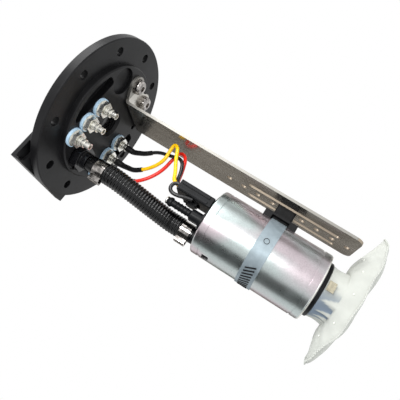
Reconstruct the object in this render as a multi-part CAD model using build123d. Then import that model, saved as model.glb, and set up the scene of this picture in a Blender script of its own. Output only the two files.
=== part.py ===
from build123d import *
import math
import os

# In-tank fuel pump module. Everything hangs below a round tank flange.
# Origin: centre of the flange, in the face that seals on the tank.
# +Z points out of the tank, +Y from the bracket towards the pump. Millimetres.

# flange
RIM_R = 63.5
RIM_T = 6.35
BOSS_R = 45.0
BOSS_H = 4.0
BOLT_PCD = 2 * (RIM_R - 9.25)
BOLT_COUNT = 10
BOLT_HOLE_R = 3.25
BOLT_FIRST_DEG = 72.0
POCKET_R = 41.5
POCKET_X = 31.0
POCKET_D = 5.0
POCKET_CORNER = 2.5
PORT_R = 9.0
PORT_LIP_R = 10.7

# plate on the dry side of the flange
PLATE_X = 37.0
PLATE_Y0 = -17.5
PLATE_Y1 = 62.5
PLATE_T = 5.65
PLATE_SCREWS = [(-31, -12.5), (31, -12.5), (-31, 45), (31, 45)]

# electrical studs
STUD_X = 24.8
STUD_Y = [1.9, 15.55, 29.2]
STUD_R = 2.45
STUD_BUSH_R = 4.4
STUD_TIP = 18.0
NUT_AF = 10.0
NUT_T = 4.0
WASHER_R = 6.75
WASHER_T = 1.7

# fuel outlet and hose
OUT_X, OUT_Y = -3.0, 33.4
OUT_AF = 17.5
OUT_SHANK_R = 6.0
OUT_NUT_T = 5.4
OUT_THREAD_R = 5.0
OUT_TOP = 20.0
HOSE_R = 7.5
HOSE_NECK_R = 6.0
HOSE_BORE_R = 4.95
HOSE_PITCH = 2.2
HOSE_TOP = -14.0
RIB_TOP = -31.0
RIB_END = -86.0
CLAMP_W = 8.0
CLAMP_T = 0.7
CLAMP_TOP_Z = -24.0
CLAMP_LOW_Z = -94.0

# pump
PX, PY = 16.5, 19.0
CAN_R = 25.0
CAN_WALL = 1.6
CAN_TOP, CAN_END = -103.0, -189.5
LIP_T = 1.2
LIP_R = CAN_R - 3.5
BORE_R = CAN_R - CAN_WALL
CAP_TOP = CAN_TOP + 1
NIPPLE_X, NIPPLE_Y = PX - 2.5, PY + 15.4
NIPPLE_TOP = CAP_TOP + 18
VENT_X, VENT_Y = PX - 12.5, PY + 5.7
VENT_TOP = CAP_TOP + 30.3
SHAFT_R = 2.0
CORE_R = CAN_R - 8
MAGNET_R = CAN_R - 7.4
BRUSH_Z = CAN_TOP - 22
CORE_TOP, CORE_END = CAN_TOP - 30, CAN_END + 29.5
CHAMBER_TOP, CHAMBER_END = CAN_END + 21, CAN_END + 13.5
IMPELLER_R = CAN_R - 6
IMPELLER_TOP = CHAMBER_END - 0.15
IMPELLER_T = 3.7

# connector on the pump
CX, CY = PX - 11.75, PY - 6.8
PLUG_X, PLUG_Y0, PLUG_Y1 = 9.25, -3.9, 4.1
PLUG_TOP = CAP_TOP + 27.3
PIVOT_Y, PIVOT_Z = CY + 5.3, CAP_TOP + 18

# bracket
SHEET = 2.0
STRIP_Y = PY - CAN_R - 11.9
STRIP_X0, STRIP_X1 = -6.2, 33.0
STRIP_END = -202.0
BEND_R = 3.5
EAR_X = [-9.1, 12.1]
EAR_Y = STRIP_Y - 14.8
EAR_R = 7.5
LINE_X = PX + 0.1
LINE_HOLES = 9
LINE_TOP = -96.7
LINE_STEP = 12.4
SLOT_DX = 8.7
SLOT_TOP, SLOT_END = -112.9, -187.2
SLOT_W = 4.0

# band and saddle
BAND_Z = -146.5
BAND_W = 12.0
BAND_T = 0.7
BAND_R = CAN_R + 0.05
HOUSING_DEG = 20.0
WORM_R = 3.0
WORM_RHO = CAN_R + 5

# filter
NECK_TOP = CAN_END - 1
NECK_R = CAN_R - 4.7
INLET_DY = 10.0
SOCK_Y = PY - 5.1
SOCK_Z = NECK_TOP - 21.3
SOCK_TILT = 5.7
SOCK_HALF = (23.0, 51.0, 8.8)
SOCK_SKIN = 0.8
SOCK_NECK_R = NECK_R - 0.9

WIRE_R = 1.35
SLEEVE_R = 2.7


def cyl(x, y, z0, z1, r):
    return Pos(x, y, (z0 + z1) / 2) * Cylinder(r, abs(z1 - z0))


def tube(x, y, z0, z1, ro, ri):
    return cyl(x, y, z0, z1, ro) - cyl(x, y, min(z0, z1) - 1, max(z0, z1) + 1, ri)


def block(x0, x1, y0, y1, z0, z1):
    return Pos((x0 + x1) / 2, (y0 + y1) / 2, (z0 + z1) / 2) * Box(x1 - x0, y1 - y0, z1 - z0)


def hexagon(x, y, z0, z1, flats):
    return Pos(x, y, z0) * extrude(RegularPolygon(flats / 2, 6, major_radius=False), z1 - z0)


def along_y(x, z, y0, y1, r):
    return Pos(x, (y0 + y1) / 2, z) * Rot(90, 0, 0) * Cylinder(r, abs(y1 - y0))


def along_x(y, z, x0, x1, r):
    return Pos((x0 + x1) / 2, y, z) * Rot(0, 90, 0) * Cylinder(r, abs(x1 - x0))


def turned(x, y, points):
    """Solid of revolution about the upright line through (x, y), from (radius, z) points."""
    outline = Polyline(*[(r, 0, z) for r, z in points], close=True)
    return Pos(x, y, 0) * revolve(make_face(outline), Axis.Z, 360)


def total(shapes):
    first, rest = shapes[0], shapes[1:]
    return first + rest if rest else first


def group(shapes):
    return Compound(children=[s if isinstance(s, Solid) else s.solids()[0] for s in shapes])


def socket_block(x0, x1, y0, y1, z0, z1):
    """Block placed from the middle of the connector, at the level of the pump's cap."""
    return block(CX + x0, CX + x1, CY + y0, CY + y1, CAP_TOP + z0, CAP_TOP + z1)


def at_can(degrees):
    """Frame on the pump axis whose X points outwards at this angle."""
    return Pos(PX, PY, 0) * Rot(0, 0, degrees)


def bend_radii(points):
    """Each bend as wide as the two runs beside it allow."""
    radii = []
    for a, b, c in zip(points, points[1:], points[2:]):
        first = Vector(*b) - Vector(*a)
        second = Vector(*c) - Vector(*b)
        half = math.radians(first.get_angle(second)) / 2
        radii.append(0.45 * min(first.length, second.length) / math.tan(half))
    return radii


def route(name, points):
    radii = bend_radii(points)
    line = FilletPolyline(*points, radius=radii)
    print(name, "length", round(line.length, 1), "radii", [round(r, 1) for r in radii])
    return line


def swept(path, r):
    return sweep(Plane(origin=path @ 0, z_dir=path % 0) * Circle(r), path)


def coil(x, y, z0, z1, mean_r, wire_r, turns):
    height = z1 - z0 - 2 * wire_r
    line = Pos(x, y, z0 + wire_r) * Helix(height / turns, height, mean_r)
    return sweep(Plane(origin=line @ 0, z_dir=line % 0) * Circle(wire_r), line, is_frenet=True)


# Flange and what is bolted to it

def bolt_points():
    r = BOLT_PCD / 2
    angles = [math.radians(BOLT_FIRST_DEG + 360 / BOLT_COUNT * i) for i in range(BOLT_COUNT)]
    return [(r * math.cos(a), r * math.sin(a)) for a in angles]


def pocket(x0, x1, y0, y1):
    """Recess between a straight side and the boss's round wall, its corners rounded by the cutter."""
    area = Circle(POCKET_R) & Pos((x0 + x1) / 2, (y0 + y1) / 2) * Rectangle(x1 - x0, y1 - y0)
    area = offset(offset(area, -POCKET_CORNER), POCKET_CORNER, kind=Kind.ARC)
    return Pos(0, 0, -BOSS_H - 1) * extrude(area, POCKET_D + 1)


def flange_plate():
    rim = cyl(0, 0, 0, RIM_T, RIM_R)
    rim = chamfer(rim.edges().filter_by(GeomType.CIRCLE), 0.6)
    boss = cyl(0, 0, -BOSS_H, 0.5, BOSS_R)
    boss = chamfer(boss.edges().group_by(Axis.Z)[0], 0.8)
    body = rim + boss
    cuts = [cyl(x, y, -1, RIM_T + 1, BOLT_HOLE_R) for x, y in bolt_points()]
    cuts += [cyl(x, y, -9, 9, STUD_BUSH_R + 0.05) for x in (-STUD_X, STUD_X) for y in STUD_Y]
    cuts += [cyl(x, EAR_Y, -9, 4.2, 3.0) for x in EAR_X]
    cuts += [cyl(x, y, 2, 9, 2.0) for x, y in PLATE_SCREWS]
    cuts.append(cyl(0, 0, -9, 9, PORT_R))
    lip = PORT_LIP_R - PORT_R
    cuts.append(turned(0, 0, [(0, -BOSS_H - 1), (PORT_LIP_R, -BOSS_H - 1), (PORT_LIP_R, -BOSS_H),
                              (PORT_R, -BOSS_H + lip), (0, -BOSS_H + lip)]))
    cuts.append(cyl(OUT_X, OUT_Y, -9, 9, OUT_SHANK_R + 0.05))
    cuts.append(cyl(OUT_X, OUT_Y, -9, -BOSS_H + 1, 10.7))
    cuts.append(cyl(-24.6, -23.4, -9, -BOSS_H + 2.5, 10))
    cuts.append(cyl(29, -17, -9, -1, 2))
    cuts.append(pocket(-60, -POCKET_X, -16, 26))
    cuts.append(pocket(POCKET_X, 60, -12, 26))
    return body - cuts


def outer_plate():
    z0, z1 = RIM_T, RIM_T + PLATE_T
    body = block(-PLATE_X, PLATE_X, PLATE_Y0, PLATE_Y1, z0, z1)
    body = chamfer(body.edges().group_by(Axis.Z)[-1], 0.6)
    low, high = STUD_Y[0] - 8.6, STUD_Y[-1] + 8.6
    for x in (-STUD_X, STUD_X):
        window = block(x - 8.6, x + 8.6, low, high, z0 - 1, z1 + 1)
        body -= fillet(window.edges().filter_by(Axis.Z), 4)
    cuts = [cyl(x, y, z0 - 1, z1 + 1, BOLT_HOLE_R + 0.25) for x, y in bolt_points()]
    cuts.append(cyl(0, 0, z0 - 1, z1 + 1, 13))
    cuts.append(cyl(OUT_X, OUT_Y, z0 - 1, z1 + 1, 12.4))
    cuts.append(cyl(-35, 55, z0 - 1, z0 + 2.6, 6.5))
    cuts += [turned(x, y, [(0, z0 - 1), (2.2, z0 - 1), (2.2, z1 - 2.2), (4.2, z1 - 0.2), (4.2, z1 + 1),
                           (0, z1 + 1)]) for x, y in PLATE_SCREWS]
    return body - cuts


def outer_plate_screws():
    top = RIM_T + PLATE_T - 0.2
    shapes = []
    for x, y in PLATE_SCREWS:
        screw = turned(x, y, [(0, 2.5), (2, 2.5), (2, top - 2.1), (4.1, top), (0, top)])
        shapes.append(screw - hexagon(x, y, top - 1.6, top + 1, 2.5))
    return group(shapes)


def port_plug():
    body = cyl(0, 0, 1.2, RIM_T + 1.1, PORT_R - 0.1) + cyl(0, 0, RIM_T + 1, RIM_T + 4.6, 11.8)
    body = chamfer(body.edges().group_by(Axis.Z)[-1], 0.8)
    return body - hexagon(0, 0, RIM_T - 1, RIM_T + 9, 8)


def port_seal():
    return tube(0, 0, RIM_T, RIM_T + 1, 11.6, PORT_R + 0.1)


def outlet_fitting():
    base = -BOSS_H + 1
    body = hexagon(OUT_X, OUT_Y, base - 6, base, OUT_AF)
    body &= cyl(OUT_X, OUT_Y, base - 7, base + 1, OUT_AF / 2 * 1.12)
    shoulder = RIM_T + 1.2 + OUT_NUT_T + 1
    body += turned(OUT_X, OUT_Y, [(0, base - 0.5), (OUT_SHANK_R, base - 0.5), (OUT_SHANK_R, shoulder),
                                  (OUT_THREAD_R, shoulder), (OUT_THREAD_R, OUT_TOP - 1.2),
                                  (OUT_THREAD_R - 1.2, OUT_TOP), (0, OUT_TOP)])
    body += cyl(OUT_X, OUT_Y, -13, base - 5, 6.2)
    tail = [(0, -31), (3.9, -31)]
    for z in (-30.5, -26.5, -22.5):
        tail += [(4.85, z + 1.8), (4.2, z + 2)]
    tail += [(4.2, -12), (0, -12)]
    body += turned(OUT_X, OUT_Y, tail)
    return body - cyl(OUT_X, OUT_Y, -40, OUT_TOP + 5, 3)


def outlet_washer():
    return tube(OUT_X, OUT_Y, RIM_T, RIM_T + 1.2, 10, OUT_SHANK_R + 0.1)


def outlet_nut():
    z = RIM_T + 1.2
    nut = hexagon(OUT_X, OUT_Y, z, z + OUT_NUT_T, 18)
    return nut - cyl(OUT_X, OUT_Y, 0, 30, OUT_SHANK_R + 0.02)


# Studs

def at_studs(make, columns=(-STUD_X, STUD_X)):
    return group([make(x, y) for x in columns for y in STUD_Y])


def stud_pin(x, y):
    seat = -BOSS_H - WASHER_T - NUT_T
    pin = turned(x, y, [(0, 17), (STUD_R - 0.4, 17), (STUD_R, 16.6), (STUD_R, seat - 0.8),
                        (3.3, seat - 0.8), (3.3, seat - 1.6), (2.5, seat - 1.6), (2.5, seat - 3.2),
                        (3.0, seat - 3.2), (3.0, seat - 4), (2.2, seat - 4), (2.2, -STUD_TIP),
                        (0, -STUD_TIP)])
    return pin - cyl(x, y, -STUD_TIP - 1, -STUD_TIP + 3, WIRE_R + 0.1)


def stud_insulator(x, y):
    return tube(x, y, -BOSS_H, RIM_T, STUD_BUSH_R, STUD_R + 0.05)


def inner_washer(x, y):
    return tube(x, y, -BOSS_H - WASHER_T, -BOSS_H, WASHER_R, STUD_R + 0.05)


def inner_nut(x, y):
    z = -BOSS_H - WASHER_T
    return hexagon(x, y, z - NUT_T, z, NUT_AF) - cyl(x, y, z - 9, z + 9, STUD_R + 0.02)


def outer_washer(x, y):
    return tube(x, y, RIM_T, RIM_T + WASHER_T, WASHER_R, STUD_R + 0.05)


def outer_nut(x, y):
    z = RIM_T + WASHER_T
    return hexagon(x, y, z, z + NUT_T, NUT_AF) - cyl(x, y, z - 9, z + 9, STUD_R + 0.02)


# Wires, each from the cup of its pin to the back of the plug

WIRE_END = PLUG_TOP
WIRE_ROUTES = {
    "black": [(STUD_X, STUD_Y[0], 3 - STUD_TIP), (STUD_X, STUD_Y[0], -21), (20.2, -0.6, -31),
              (16.4, -6.2, -40), (13.4, -7.2, -50.5), (8.4, -8.4, -61.5), (6.2, 2, -67.6),
              (CX + 0.45, CY - 1.2, -69.2), (CX + 0.45, CY - 1.2, WIRE_END)],
    "yellow": [(STUD_X, STUD_Y[1], 3 - STUD_TIP), (STUD_X, STUD_Y[1], -21), (20.4, 15.2, -32.5),
               (16, 8.6, -43), (11.2, -0.4, -49.8), (8.8, -8.6, -49.6), (6.6, -14.6, -50.2),
               (3, -12.4, -55.2), (2.2, -3.2, -59.6), (0.9, 6, -66), (CX - 3.85, CY + 0.3, -68.8),
               (CX - 3.85, CY + 0.3, WIRE_END)],
    "red": [(STUD_X, STUD_Y[2], 3 - STUD_TIP), (STUD_X, STUD_Y[2], -21), (20.6, 26, -33),
            (17.8, 18.4, -44.2), (17.2, 5.6, -51.2), (17, -7.6, -52.4), (14.8, -14.4, -54.6),
            (12.6, -12.6, -61.4), (10.8, -0.6, -66.4), (CX + 4.45, CY - 0.6, -69.4),
            (CX + 4.45, CY - 0.6, WIRE_END)],
}
PIGTAIL = [(CX - 7.15, CY + 0.2, WIRE_END), (CX - 7.15, CY + 0.2, WIRE_END + 6.1),
           (CX - 6.95, CY + 6.4, WIRE_END + 6.3), (CX - 6.55, CY + 10.2, WIRE_END + 1.7),
           (CX - 6.35, CY + 10.2, WIRE_END - 4.7), (CX - 6.35, CY + PLUG_Y1, WIRE_END - 4.7)]


def wire(name):
    return swept(route("wire_" + name, WIRE_ROUTES[name]), WIRE_R)


def wire_pigtail():
    return swept(route("wire_pigtail", PIGTAIL), WIRE_R)


def heat_shrink(name):
    """Sleeve over the cup of the pin and the start of its wire."""
    points = WIRE_ROUTES[name][:4]
    radii = bend_radii(points + [WIRE_ROUTES[name][4]])[:2]
    points[3] = tuple((Vector(*points[2]) + Vector(*points[3])) * 0.5)
    line = FilletPolyline(*points, radius=radii)
    x, y, cup = points[0]
    top = -BOSS_H - WASHER_T - NUT_T - 4.2
    sleeve = swept(line, SLEEVE_R) + cyl(x, y, cup - 1, top, SLEEVE_R)
    return sleeve - swept(line, WIRE_R + 0.03) - cyl(x, y, top + 1, -STUD_TIP, 2.25)


# Hose

def hose_path():
    return route("hose", [(OUT_X, OUT_Y, HOSE_TOP), (OUT_X, OUT_Y, -39), (NIPPLE_X, NIPPLE_Y, -77),
                          (NIPPLE_X, NIPPLE_Y, CAP_TOP + 2.4)])


def corrugated_hose():
    path = hose_path()
    ribs = []
    count = int((RIB_TOP - RIB_END) / HOSE_PITCH) + 2
    for i in range(count):
        place = path.location_at(HOSE_TOP - RIB_TOP + HOSE_PITCH * i, position_mode=PositionMode.LENGTH)
        ribs.append(place * Cylinder(HOSE_R, HOSE_PITCH * 0.55))
    return swept(path, HOSE_NECK_R) + ribs - swept(path, HOSE_BORE_R)


def hose_clamp(x, y, z):
    inner = HOSE_NECK_R + 0.05
    ring = tube(x, y, z - CLAMP_W / 2, z + CLAMP_W / 2, inner + CLAMP_T, inner)
    half = CLAMP_W / 2
    ear = block(x - 2.8, x + 2.8, y + inner, y + inner + 4, z - half, z + half)
    ear = fillet(ear.edges().filter_by(Axis.Z).group_by(Axis.Y)[-1], 1.2)
    hollow = block(x - 1.9, x + 1.9, y + inner - 1, y + inner + 3.1, z - half - 1, z + half + 1)
    return ring + (ear - hollow) - cyl(x, y, z - 9, z + 9, inner)


# Bracket

def tangent_point(px, py, cx, cy, r, side):
    """Point where the line from (px, py) touches the circle, on the given side."""
    dx, dy = px - cx, py - cy
    turn = side * math.acos(r / math.hypot(dx, dy))
    angle = math.atan2(dy, dx) + turn
    return cx + r * math.cos(angle), cy + r * math.sin(angle)


def foot_outline():
    bend_y = STRIP_Y - BEND_R
    left, right = EAR_X
    a = tangent_point(-7.6, bend_y, left, EAR_Y, EAR_R, 1)
    b = tangent_point(STRIP_X1, bend_y, right, EAR_Y, EAR_R, -1)
    body = make_face(Polyline((-7.6, bend_y), a, (left, EAR_Y), (right, EAR_Y), b,
                              (STRIP_X1, bend_y), close=True))
    mid = (left + right) / 2
    drop = 10.8
    hollow_r = math.hypot(right - mid, drop) - EAR_R
    web = make_face(Polyline((left, EAR_Y), (right, EAR_Y), (mid, EAR_Y - drop), close=True))
    web -= Pos(mid, EAR_Y - drop) * Circle(hollow_r)
    return body + web + [Pos(x, EAR_Y) * Circle(EAR_R) for x in EAR_X]


def bracket():
    top = -BOSS_H
    bend_y = STRIP_Y - BEND_R
    foot = Pos(0, 0, top - SHEET) * extrude(foot_outline(), SHEET)
    inside = BEND_R - SHEET
    corner = along_x(bend_y, top - BEND_R, STRIP_X0, STRIP_X1, BEND_R)
    corner -= along_x(bend_y, top - BEND_R, STRIP_X0 - 1, STRIP_X1 + 1, inside)
    corner &= block(STRIP_X0, STRIP_X1, bend_y, STRIP_Y, top - BEND_R, top)
    strip = block(STRIP_X0, STRIP_X1, STRIP_Y - SHEET, STRIP_Y, STRIP_END, top - BEND_R)
    strip = fillet(strip.edges().filter_by(Axis.Y).group_by(Axis.Z)[0], 6)
    body = foot + corner + strip
    cuts = [cyl(x, EAR_Y, -20, 0, 3.3) for x in EAR_X]
    cuts += [along_y(LINE_X, LINE_TOP - LINE_STEP * i, -30, 0, 2.25) for i in range(LINE_HOLES)]
    length = SLOT_TOP - SLOT_END
    for x in (LINE_X - SLOT_DX, LINE_X + SLOT_DX):
        slot = extrude(SlotOverall(length, SLOT_W, rotation=90), 10, both=True)
        cuts.append(Pos(x, STRIP_Y, (SLOT_TOP + SLOT_END) / 2) * Rot(90, 0, 0) * slot)
    return body - cuts


def bracket_screws():
    seat = -BOSS_H - SHEET - 1.2
    shapes = []
    for x in EAR_X:
        head = cyl(x, EAR_Y, seat - 3.3, seat, 5.5)
        head = fillet(head.edges().group_by(Axis.Z)[0], 2.4)
        head -= hexagon(x, EAR_Y, seat - 5, seat - 1.5, 4)
        shapes.append(head + cyl(x, EAR_Y, seat, 4, 2.95))
    return group(shapes)


def lock_washers():
    z = -BOSS_H - SHEET
    shapes = []
    for x in EAR_X:
        ring = tube(x, EAR_Y, z - 1.2, z, 5.2, 3.1)
        teeth = [Pos(x, EAR_Y, z - 0.6) * Rot(0, 0, 30 * i) * Pos(5.3, 0, 0) * Box(1.2, 1.4, 1.2)
                 for i in range(12)]
        shapes.append(ring + teeth)
    return group(shapes)


# Saddle block and band

def saddle_block():
    face = PY - CAN_R
    mid = BAND_Z + 0.5
    body = block(LINE_X - 5.1, LINE_X + 5.1, STRIP_Y, face + 1, mid - 7.3, mid + 7.3)
    body = fillet(body.edges().filter_by(Axis.Y), 1.5)
    body += [block(LINE_X - 9.1, LINE_X + 9.1, face - 3.6, face + 2, mid + z, mid + z + 6) for z in (-13, 7)]
    body += block(LINE_X - 9.1, LINE_X + 9.1, face - 3.6, face - 1.9, mid - 7.5, mid + 7.5)
    for i in range(5):
        x = LINE_X - 7.2 + 3.6 * i
        body -= [block(x - 0.7, x + 0.7, face - 4, face - 2.6, mid + z, mid + z + 6) for z in (-14, 8)]
    body -= cyl(PX, PY, mid - 24, mid + 26, CAN_R + 0.03)
    half = BAND_W / 2 + 0.3
    body -= tube(PX, PY, BAND_Z - half, BAND_Z + half, BAND_R + BAND_T + 0.5, CAN_R - 2)
    return body - along_y(LINE_X, LINE_TOP - 4 * LINE_STEP, STRIP_Y - 1, face - 3, 2.0)


def saddle_screw():
    z = LINE_TOP - 4 * LINE_STEP
    back = STRIP_Y - SHEET
    head = along_y(LINE_X, z, back - 2.6, back, 3.9)
    head = fillet(head.edges().group_by(Axis.Y)[0], 1.2)
    body = head + along_y(LINE_X, z, back, PY - CAN_R - 3.4, 1.95)
    return body - block(LINE_X - 2.4, LINE_X + 2.4, back - 4, back - 1.6, z - 0.45, z + 0.45)


def band_strap():
    half = BAND_W / 2
    body = tube(PX, PY, BAND_Z - half, BAND_Z + half, BAND_R + BAND_T, BAND_R)
    cuts = [at_can(a) * Pos(BAND_R, 0, BAND_Z) * Rot(25, 0, 0) * Box(4, 1.1, 8)
            for a in range(38, 122, 6)]
    return body - cuts


def band_worm_housing():
    inner = BAND_R + BAND_T + 0.02
    body = block(inner, CAN_R + 9.4, -6.5, 6.5, BAND_Z - 7.4, BAND_Z + 7.4)
    body = fillet(body.edges().filter_by(Axis.Y).group_by(Axis.X)[-1], 3)
    body -= Pos(WORM_RHO, 0, BAND_Z) * Rot(90, 0, 0) * Cylinder(WORM_R + 0.4, 20)
    body = at_can(HOUSING_DEG) * body
    return body - cyl(PX, PY, BAND_Z - 20, BAND_Z + 20, inner)


def band_worm_screw():
    body = Rot(90, 0, 0) * Cylinder(WORM_R, 14.6)
    head = Pos(0, 7.3, 0) * Rot(-90, 0, 0) * extrude(RegularPolygon(3.5, 6, major_radius=False), 4)
    body = body + head
    body -= Pos(0, 11.3, 0) * Box(9, 1.6, 1)
    for i in range(6):
        groove = Pos(0, -5 + 2 * i, 0) * Rot(90, 0, 0) * (Cylinder(4, 0.9) - Cylinder(2.5, 2))
        body -= groove
    return at_can(HOUSING_DEG) * Pos(WORM_RHO, 0, BAND_Z) * body


# Pump shell

def pump_can():
    body = cyl(PX, PY, CAN_END, CAN_TOP, CAN_R)
    body = fillet(body.edges().filter_by(GeomType.CIRCLE), 1.2)
    body -= cyl(PX, PY, CAN_END + LIP_T, CAN_TOP - LIP_T, BORE_R)
    body -= cyl(PX, PY, CAN_END - 1, CAN_TOP + 1, LIP_R)
    for z in (CAN_TOP - 6.6, CAN_END + 6.4):
        body -= tube(PX, PY, z - 0.7, z + 0.7, CAN_R + 1, CAN_R - 0.5)
    return body - at_can(100.5) * Pos(CAN_R, 0, CAN_TOP - 12.4) * Box(4, 6.4, 5.2)


def pump_top_cap():
    inner_top = CAN_TOP - LIP_T
    under, hub = CAN_TOP - 9, CAN_TOP - 15
    body = cyl(PX, PY, under, inner_top, BORE_R - 0.03) + cyl(PX, PY, inner_top, CAP_TOP, LIP_R - 0.1)
    body += cyl(PX, PY, hub, under, 8)
    body += turned(NIPPLE_X, NIPPLE_Y, [(0, CAP_TOP - 1), (5.9, CAP_TOP - 1), (5.9, CAP_TOP + 2),
                                        (4.2, CAP_TOP + 2), (4.2, NIPPLE_TOP - 4), (4.85, NIPPLE_TOP - 4),
                                        (3.9, NIPPLE_TOP), (0, NIPPLE_TOP)])
    body += cyl(VENT_X, VENT_Y, CAP_TOP - 1, CAP_TOP + 1.6, 6) - cyl(VENT_X, VENT_Y, CAP_TOP - 2, 0, 4.5)
    socket = socket_block(-7.25, 7.25, -2.5, 2.5, -1, 16)
    socket = fillet(socket.edges().filter_by(Axis.Z), 0.8)
    socket += socket_block(-1.35, 5.85, 1.8, 3.1, 12, 13.4)
    body += socket - socket_block(-6.15, 6.15, -1.4, 1.4, 2, 22)
    cuts = [cyl(NIPPLE_X, NIPPLE_Y, hub - 2, NIPPLE_TOP + 1, 2.2)]
    cuts.append(cyl(NIPPLE_X, NIPPLE_Y, CAP_TOP + 3, NIPPLE_TOP + 1, 3.4))
    cuts.append(cyl(VENT_X, VENT_Y, hub - 2, CAP_TOP + 1, 1.6))
    cuts.append(cyl(PX, PY, hub - 1, under, 4.53))
    cuts.append(cyl(PX, PY, hub - 1, under + 1.5, SHAFT_R + 0.4))
    return body - cuts


def blades(grow):
    foot = 3 if grow else 2.05
    return [socket_block(x - 1.4 - grow, x + 1.4 + grow, -0.4 - grow, 0.4 + grow, foot, 13.5 + grow)
            for x in (-4.05, 0, 4.05)]


def connector_plug():
    top = PLUG_TOP - CAP_TOP
    body = socket_block(-PLUG_X, PLUG_X, PLUG_Y0, PLUG_Y1, 0.5, top)
    body = fillet(body.edges().filter_by(Axis.Z), 1)
    body -= socket_block(-7.95, 7.95, -2.9, 3.2, -0.5, 16.6)
    body += socket_block(-5.95, 5.95, -1.2, 1.2, 3, 17) - blades(0.15)
    body -= socket_block(-1.55, 6.05, 2.8, 4.8, 8.5, 14)
    for y in (-3, 1.2):
        body += socket_block(-PLUG_X - 0.8, 0.5 - PLUG_X, y, y + 2, 3.5, top - 1.5)
    for x in (-3.55, 6.45):
        ear = socket_block(x, x + 1.6, PLUG_Y1 - 0.5, PIVOT_Y + 1.3 - CY, 16.5, 19.5)
        body += ear - along_x(PIVOT_Y, PIVOT_Z, CX + x - 1, CX + x + 3, 0.85)
    return body


def connector_latch():
    body = socket_block(-1.45, 5.95, 4.7, 5.9, 10.4, 21.2)
    body = fillet(body.edges().filter_by(Axis.X).group_by(Axis.Z)[-1], 0.4)
    body += socket_block(-0.95, 5.45, 2.8, 4.8, 10.4, 11.6)
    body += along_x(PIVOT_Y, PIVOT_Z, CX - 3.35, CX + 7.85, 0.75)
    for i in range(3):
        body += socket_block(-0.75, 5.25, 5.8, 6.4, 19.1 + 0.8 * i, 19.5 + 0.8 * i)
    return body


def relief_barb():
    z = CAP_TOP
    body = turned(VENT_X, VENT_Y, [(0, z), (4.45, z), (4.45, z + 9.5), (2.6, z + 11), (2.6, VENT_TOP - 5),
                                   (3.4, VENT_TOP - 4.4), (3.4, VENT_TOP - 3), (2.5, VENT_TOP - 1),
                                   (2.5, VENT_TOP), (0, VENT_TOP)])
    return body - cyl(VENT_X, VENT_Y, z - 1, z + 9.3, 3.25) - cyl(VENT_X, VENT_Y, z, VENT_TOP + 1, 1.4)


def relief_poppet():
    z = CAP_TOP + 0.02
    return turned(VENT_X, VENT_Y, [(0, z), (2.95, z), (2.95, z + 1.6), (1.3, z + 1.6), (1.3, z + 3.4), (0, z + 3.4)])


def relief_spring():
    return coil(VENT_X, VENT_Y, CAP_TOP + 1.65, CAP_TOP + 9.25, 2.2, 0.35, 4)


def outlet_poppet():
    z = CAP_TOP + 3.02
    return turned(NIPPLE_X, NIPPLE_Y, [(0, z), (2.8, z), (3.05, z + 0.4), (3.05, z + 1.8), (1.4, z + 1.8),
                                       (1.4, z + 6), (0, z + 6)])


def outlet_spring():
    return coil(NIPPLE_X, NIPPLE_Y, CAP_TOP + 4.85, NIPPLE_TOP - 2.05, 2.3, 0.35, 5)


def outlet_retainer():
    return tube(NIPPLE_X, NIPPLE_Y, NIPPLE_TOP - 2, NIPPLE_TOP, 3.38, 1.7)


# Motor and pumping section inside the can

def brush_holder():
    body = tube(PX, PY, BRUSH_Z - 5, BRUSH_Z + 7, BORE_R - 0.4, 9.6)
    return body - block(PX - 30, PX + 30, PY - 2.55, PY + 2.55, BRUSH_Z - 2.6, BRUSH_Z + 2.6)


def carbon_brushes():
    return group([at_can(a) * block(8.3, 15, -2.5, 2.5, BRUSH_Z - 2.5, BRUSH_Z + 2.5) for a in (0, 180)])


def brush_springs():
    shapes = []
    for a in (0, 180):
        line = coil(0, 0, 0, 7.6, 1.8, 0.35, 4)
        shapes.append(at_can(a) * Pos(15.05, 0, BRUSH_Z) * Rot(0, 90, 0) * line)
    return group(shapes)


def commutator():
    body = tube(PX, PY, BRUSH_Z - 4.6, BRUSH_Z + 5.4, 8, SHAFT_R)
    return body - [at_can(45 * i + 22.5) * Pos(8, 0, BRUSH_Z + 0.4) * Box(1.6, 0.5, 12) for i in range(8)]


def armature_core():
    low, high = CORE_END - 1, CORE_TOP + 1
    body = tube(PX, PY, CORE_END, CORE_TOP, CORE_R, SHAFT_R)
    for i in range(8):
        slot = block(6.5, CORE_R - 1.8, -2.6, 2.6, low, high) + block(CORE_R - 2, CORE_R + 1, -0.9, 0.9, low, high)
        body -= at_can(45 * i) * slot
    return body


def armature_windings():
    ends = tube(PX, PY, CORE_TOP, CORE_TOP + 2.4, CORE_R - 2.4, SHAFT_R + 1.4)
    ends += tube(PX, PY, CORE_END - 3, CORE_END, CORE_R - 2.4, SHAFT_R + 1.4)
    bars = [at_can(45 * i) * block(6.7, CORE_R - 2.6, -2.4, 2.4, CORE_END - 1, CORE_TOP + 1) for i in range(8)]
    return ends + bars


def field_magnets():
    shapes = []
    for a in (0, 180):
        shell = tube(0, 0, CORE_END - 5, CORE_TOP + 2, BORE_R - 0.05, MAGNET_R)
        wedge = extrude(Polygon((0, 0), (60, -100), (60, 100), align=None), 100, both=True)
        shapes.append(at_can(a) * (shell & Pos(0, 0, CORE_END) * wedge))
    return group(shapes)


def rotor_shaft():
    body = cyl(PX, PY, IMPELLER_TOP - IMPELLER_T - 2.6, CAN_TOP - 8, SHAFT_R)
    flat = block(PX + 1.4, PX + 9, PY - 9, PY + 9, IMPELLER_TOP - IMPELLER_T - 3, IMPELLER_TOP)
    return chamfer(body.edges().filter_by(GeomType.CIRCLE), 0.3) - flat


def upper_bearing():
    return tube(PX, PY, CAN_TOP - 15, CAN_TOP - 9, 4.5, SHAFT_R + 0.05)


def lower_bearing():
    return tube(PX, PY, CHAMBER_END + 2, CHAMBER_TOP + 2, 4.5, SHAFT_R + 0.05)


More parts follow.
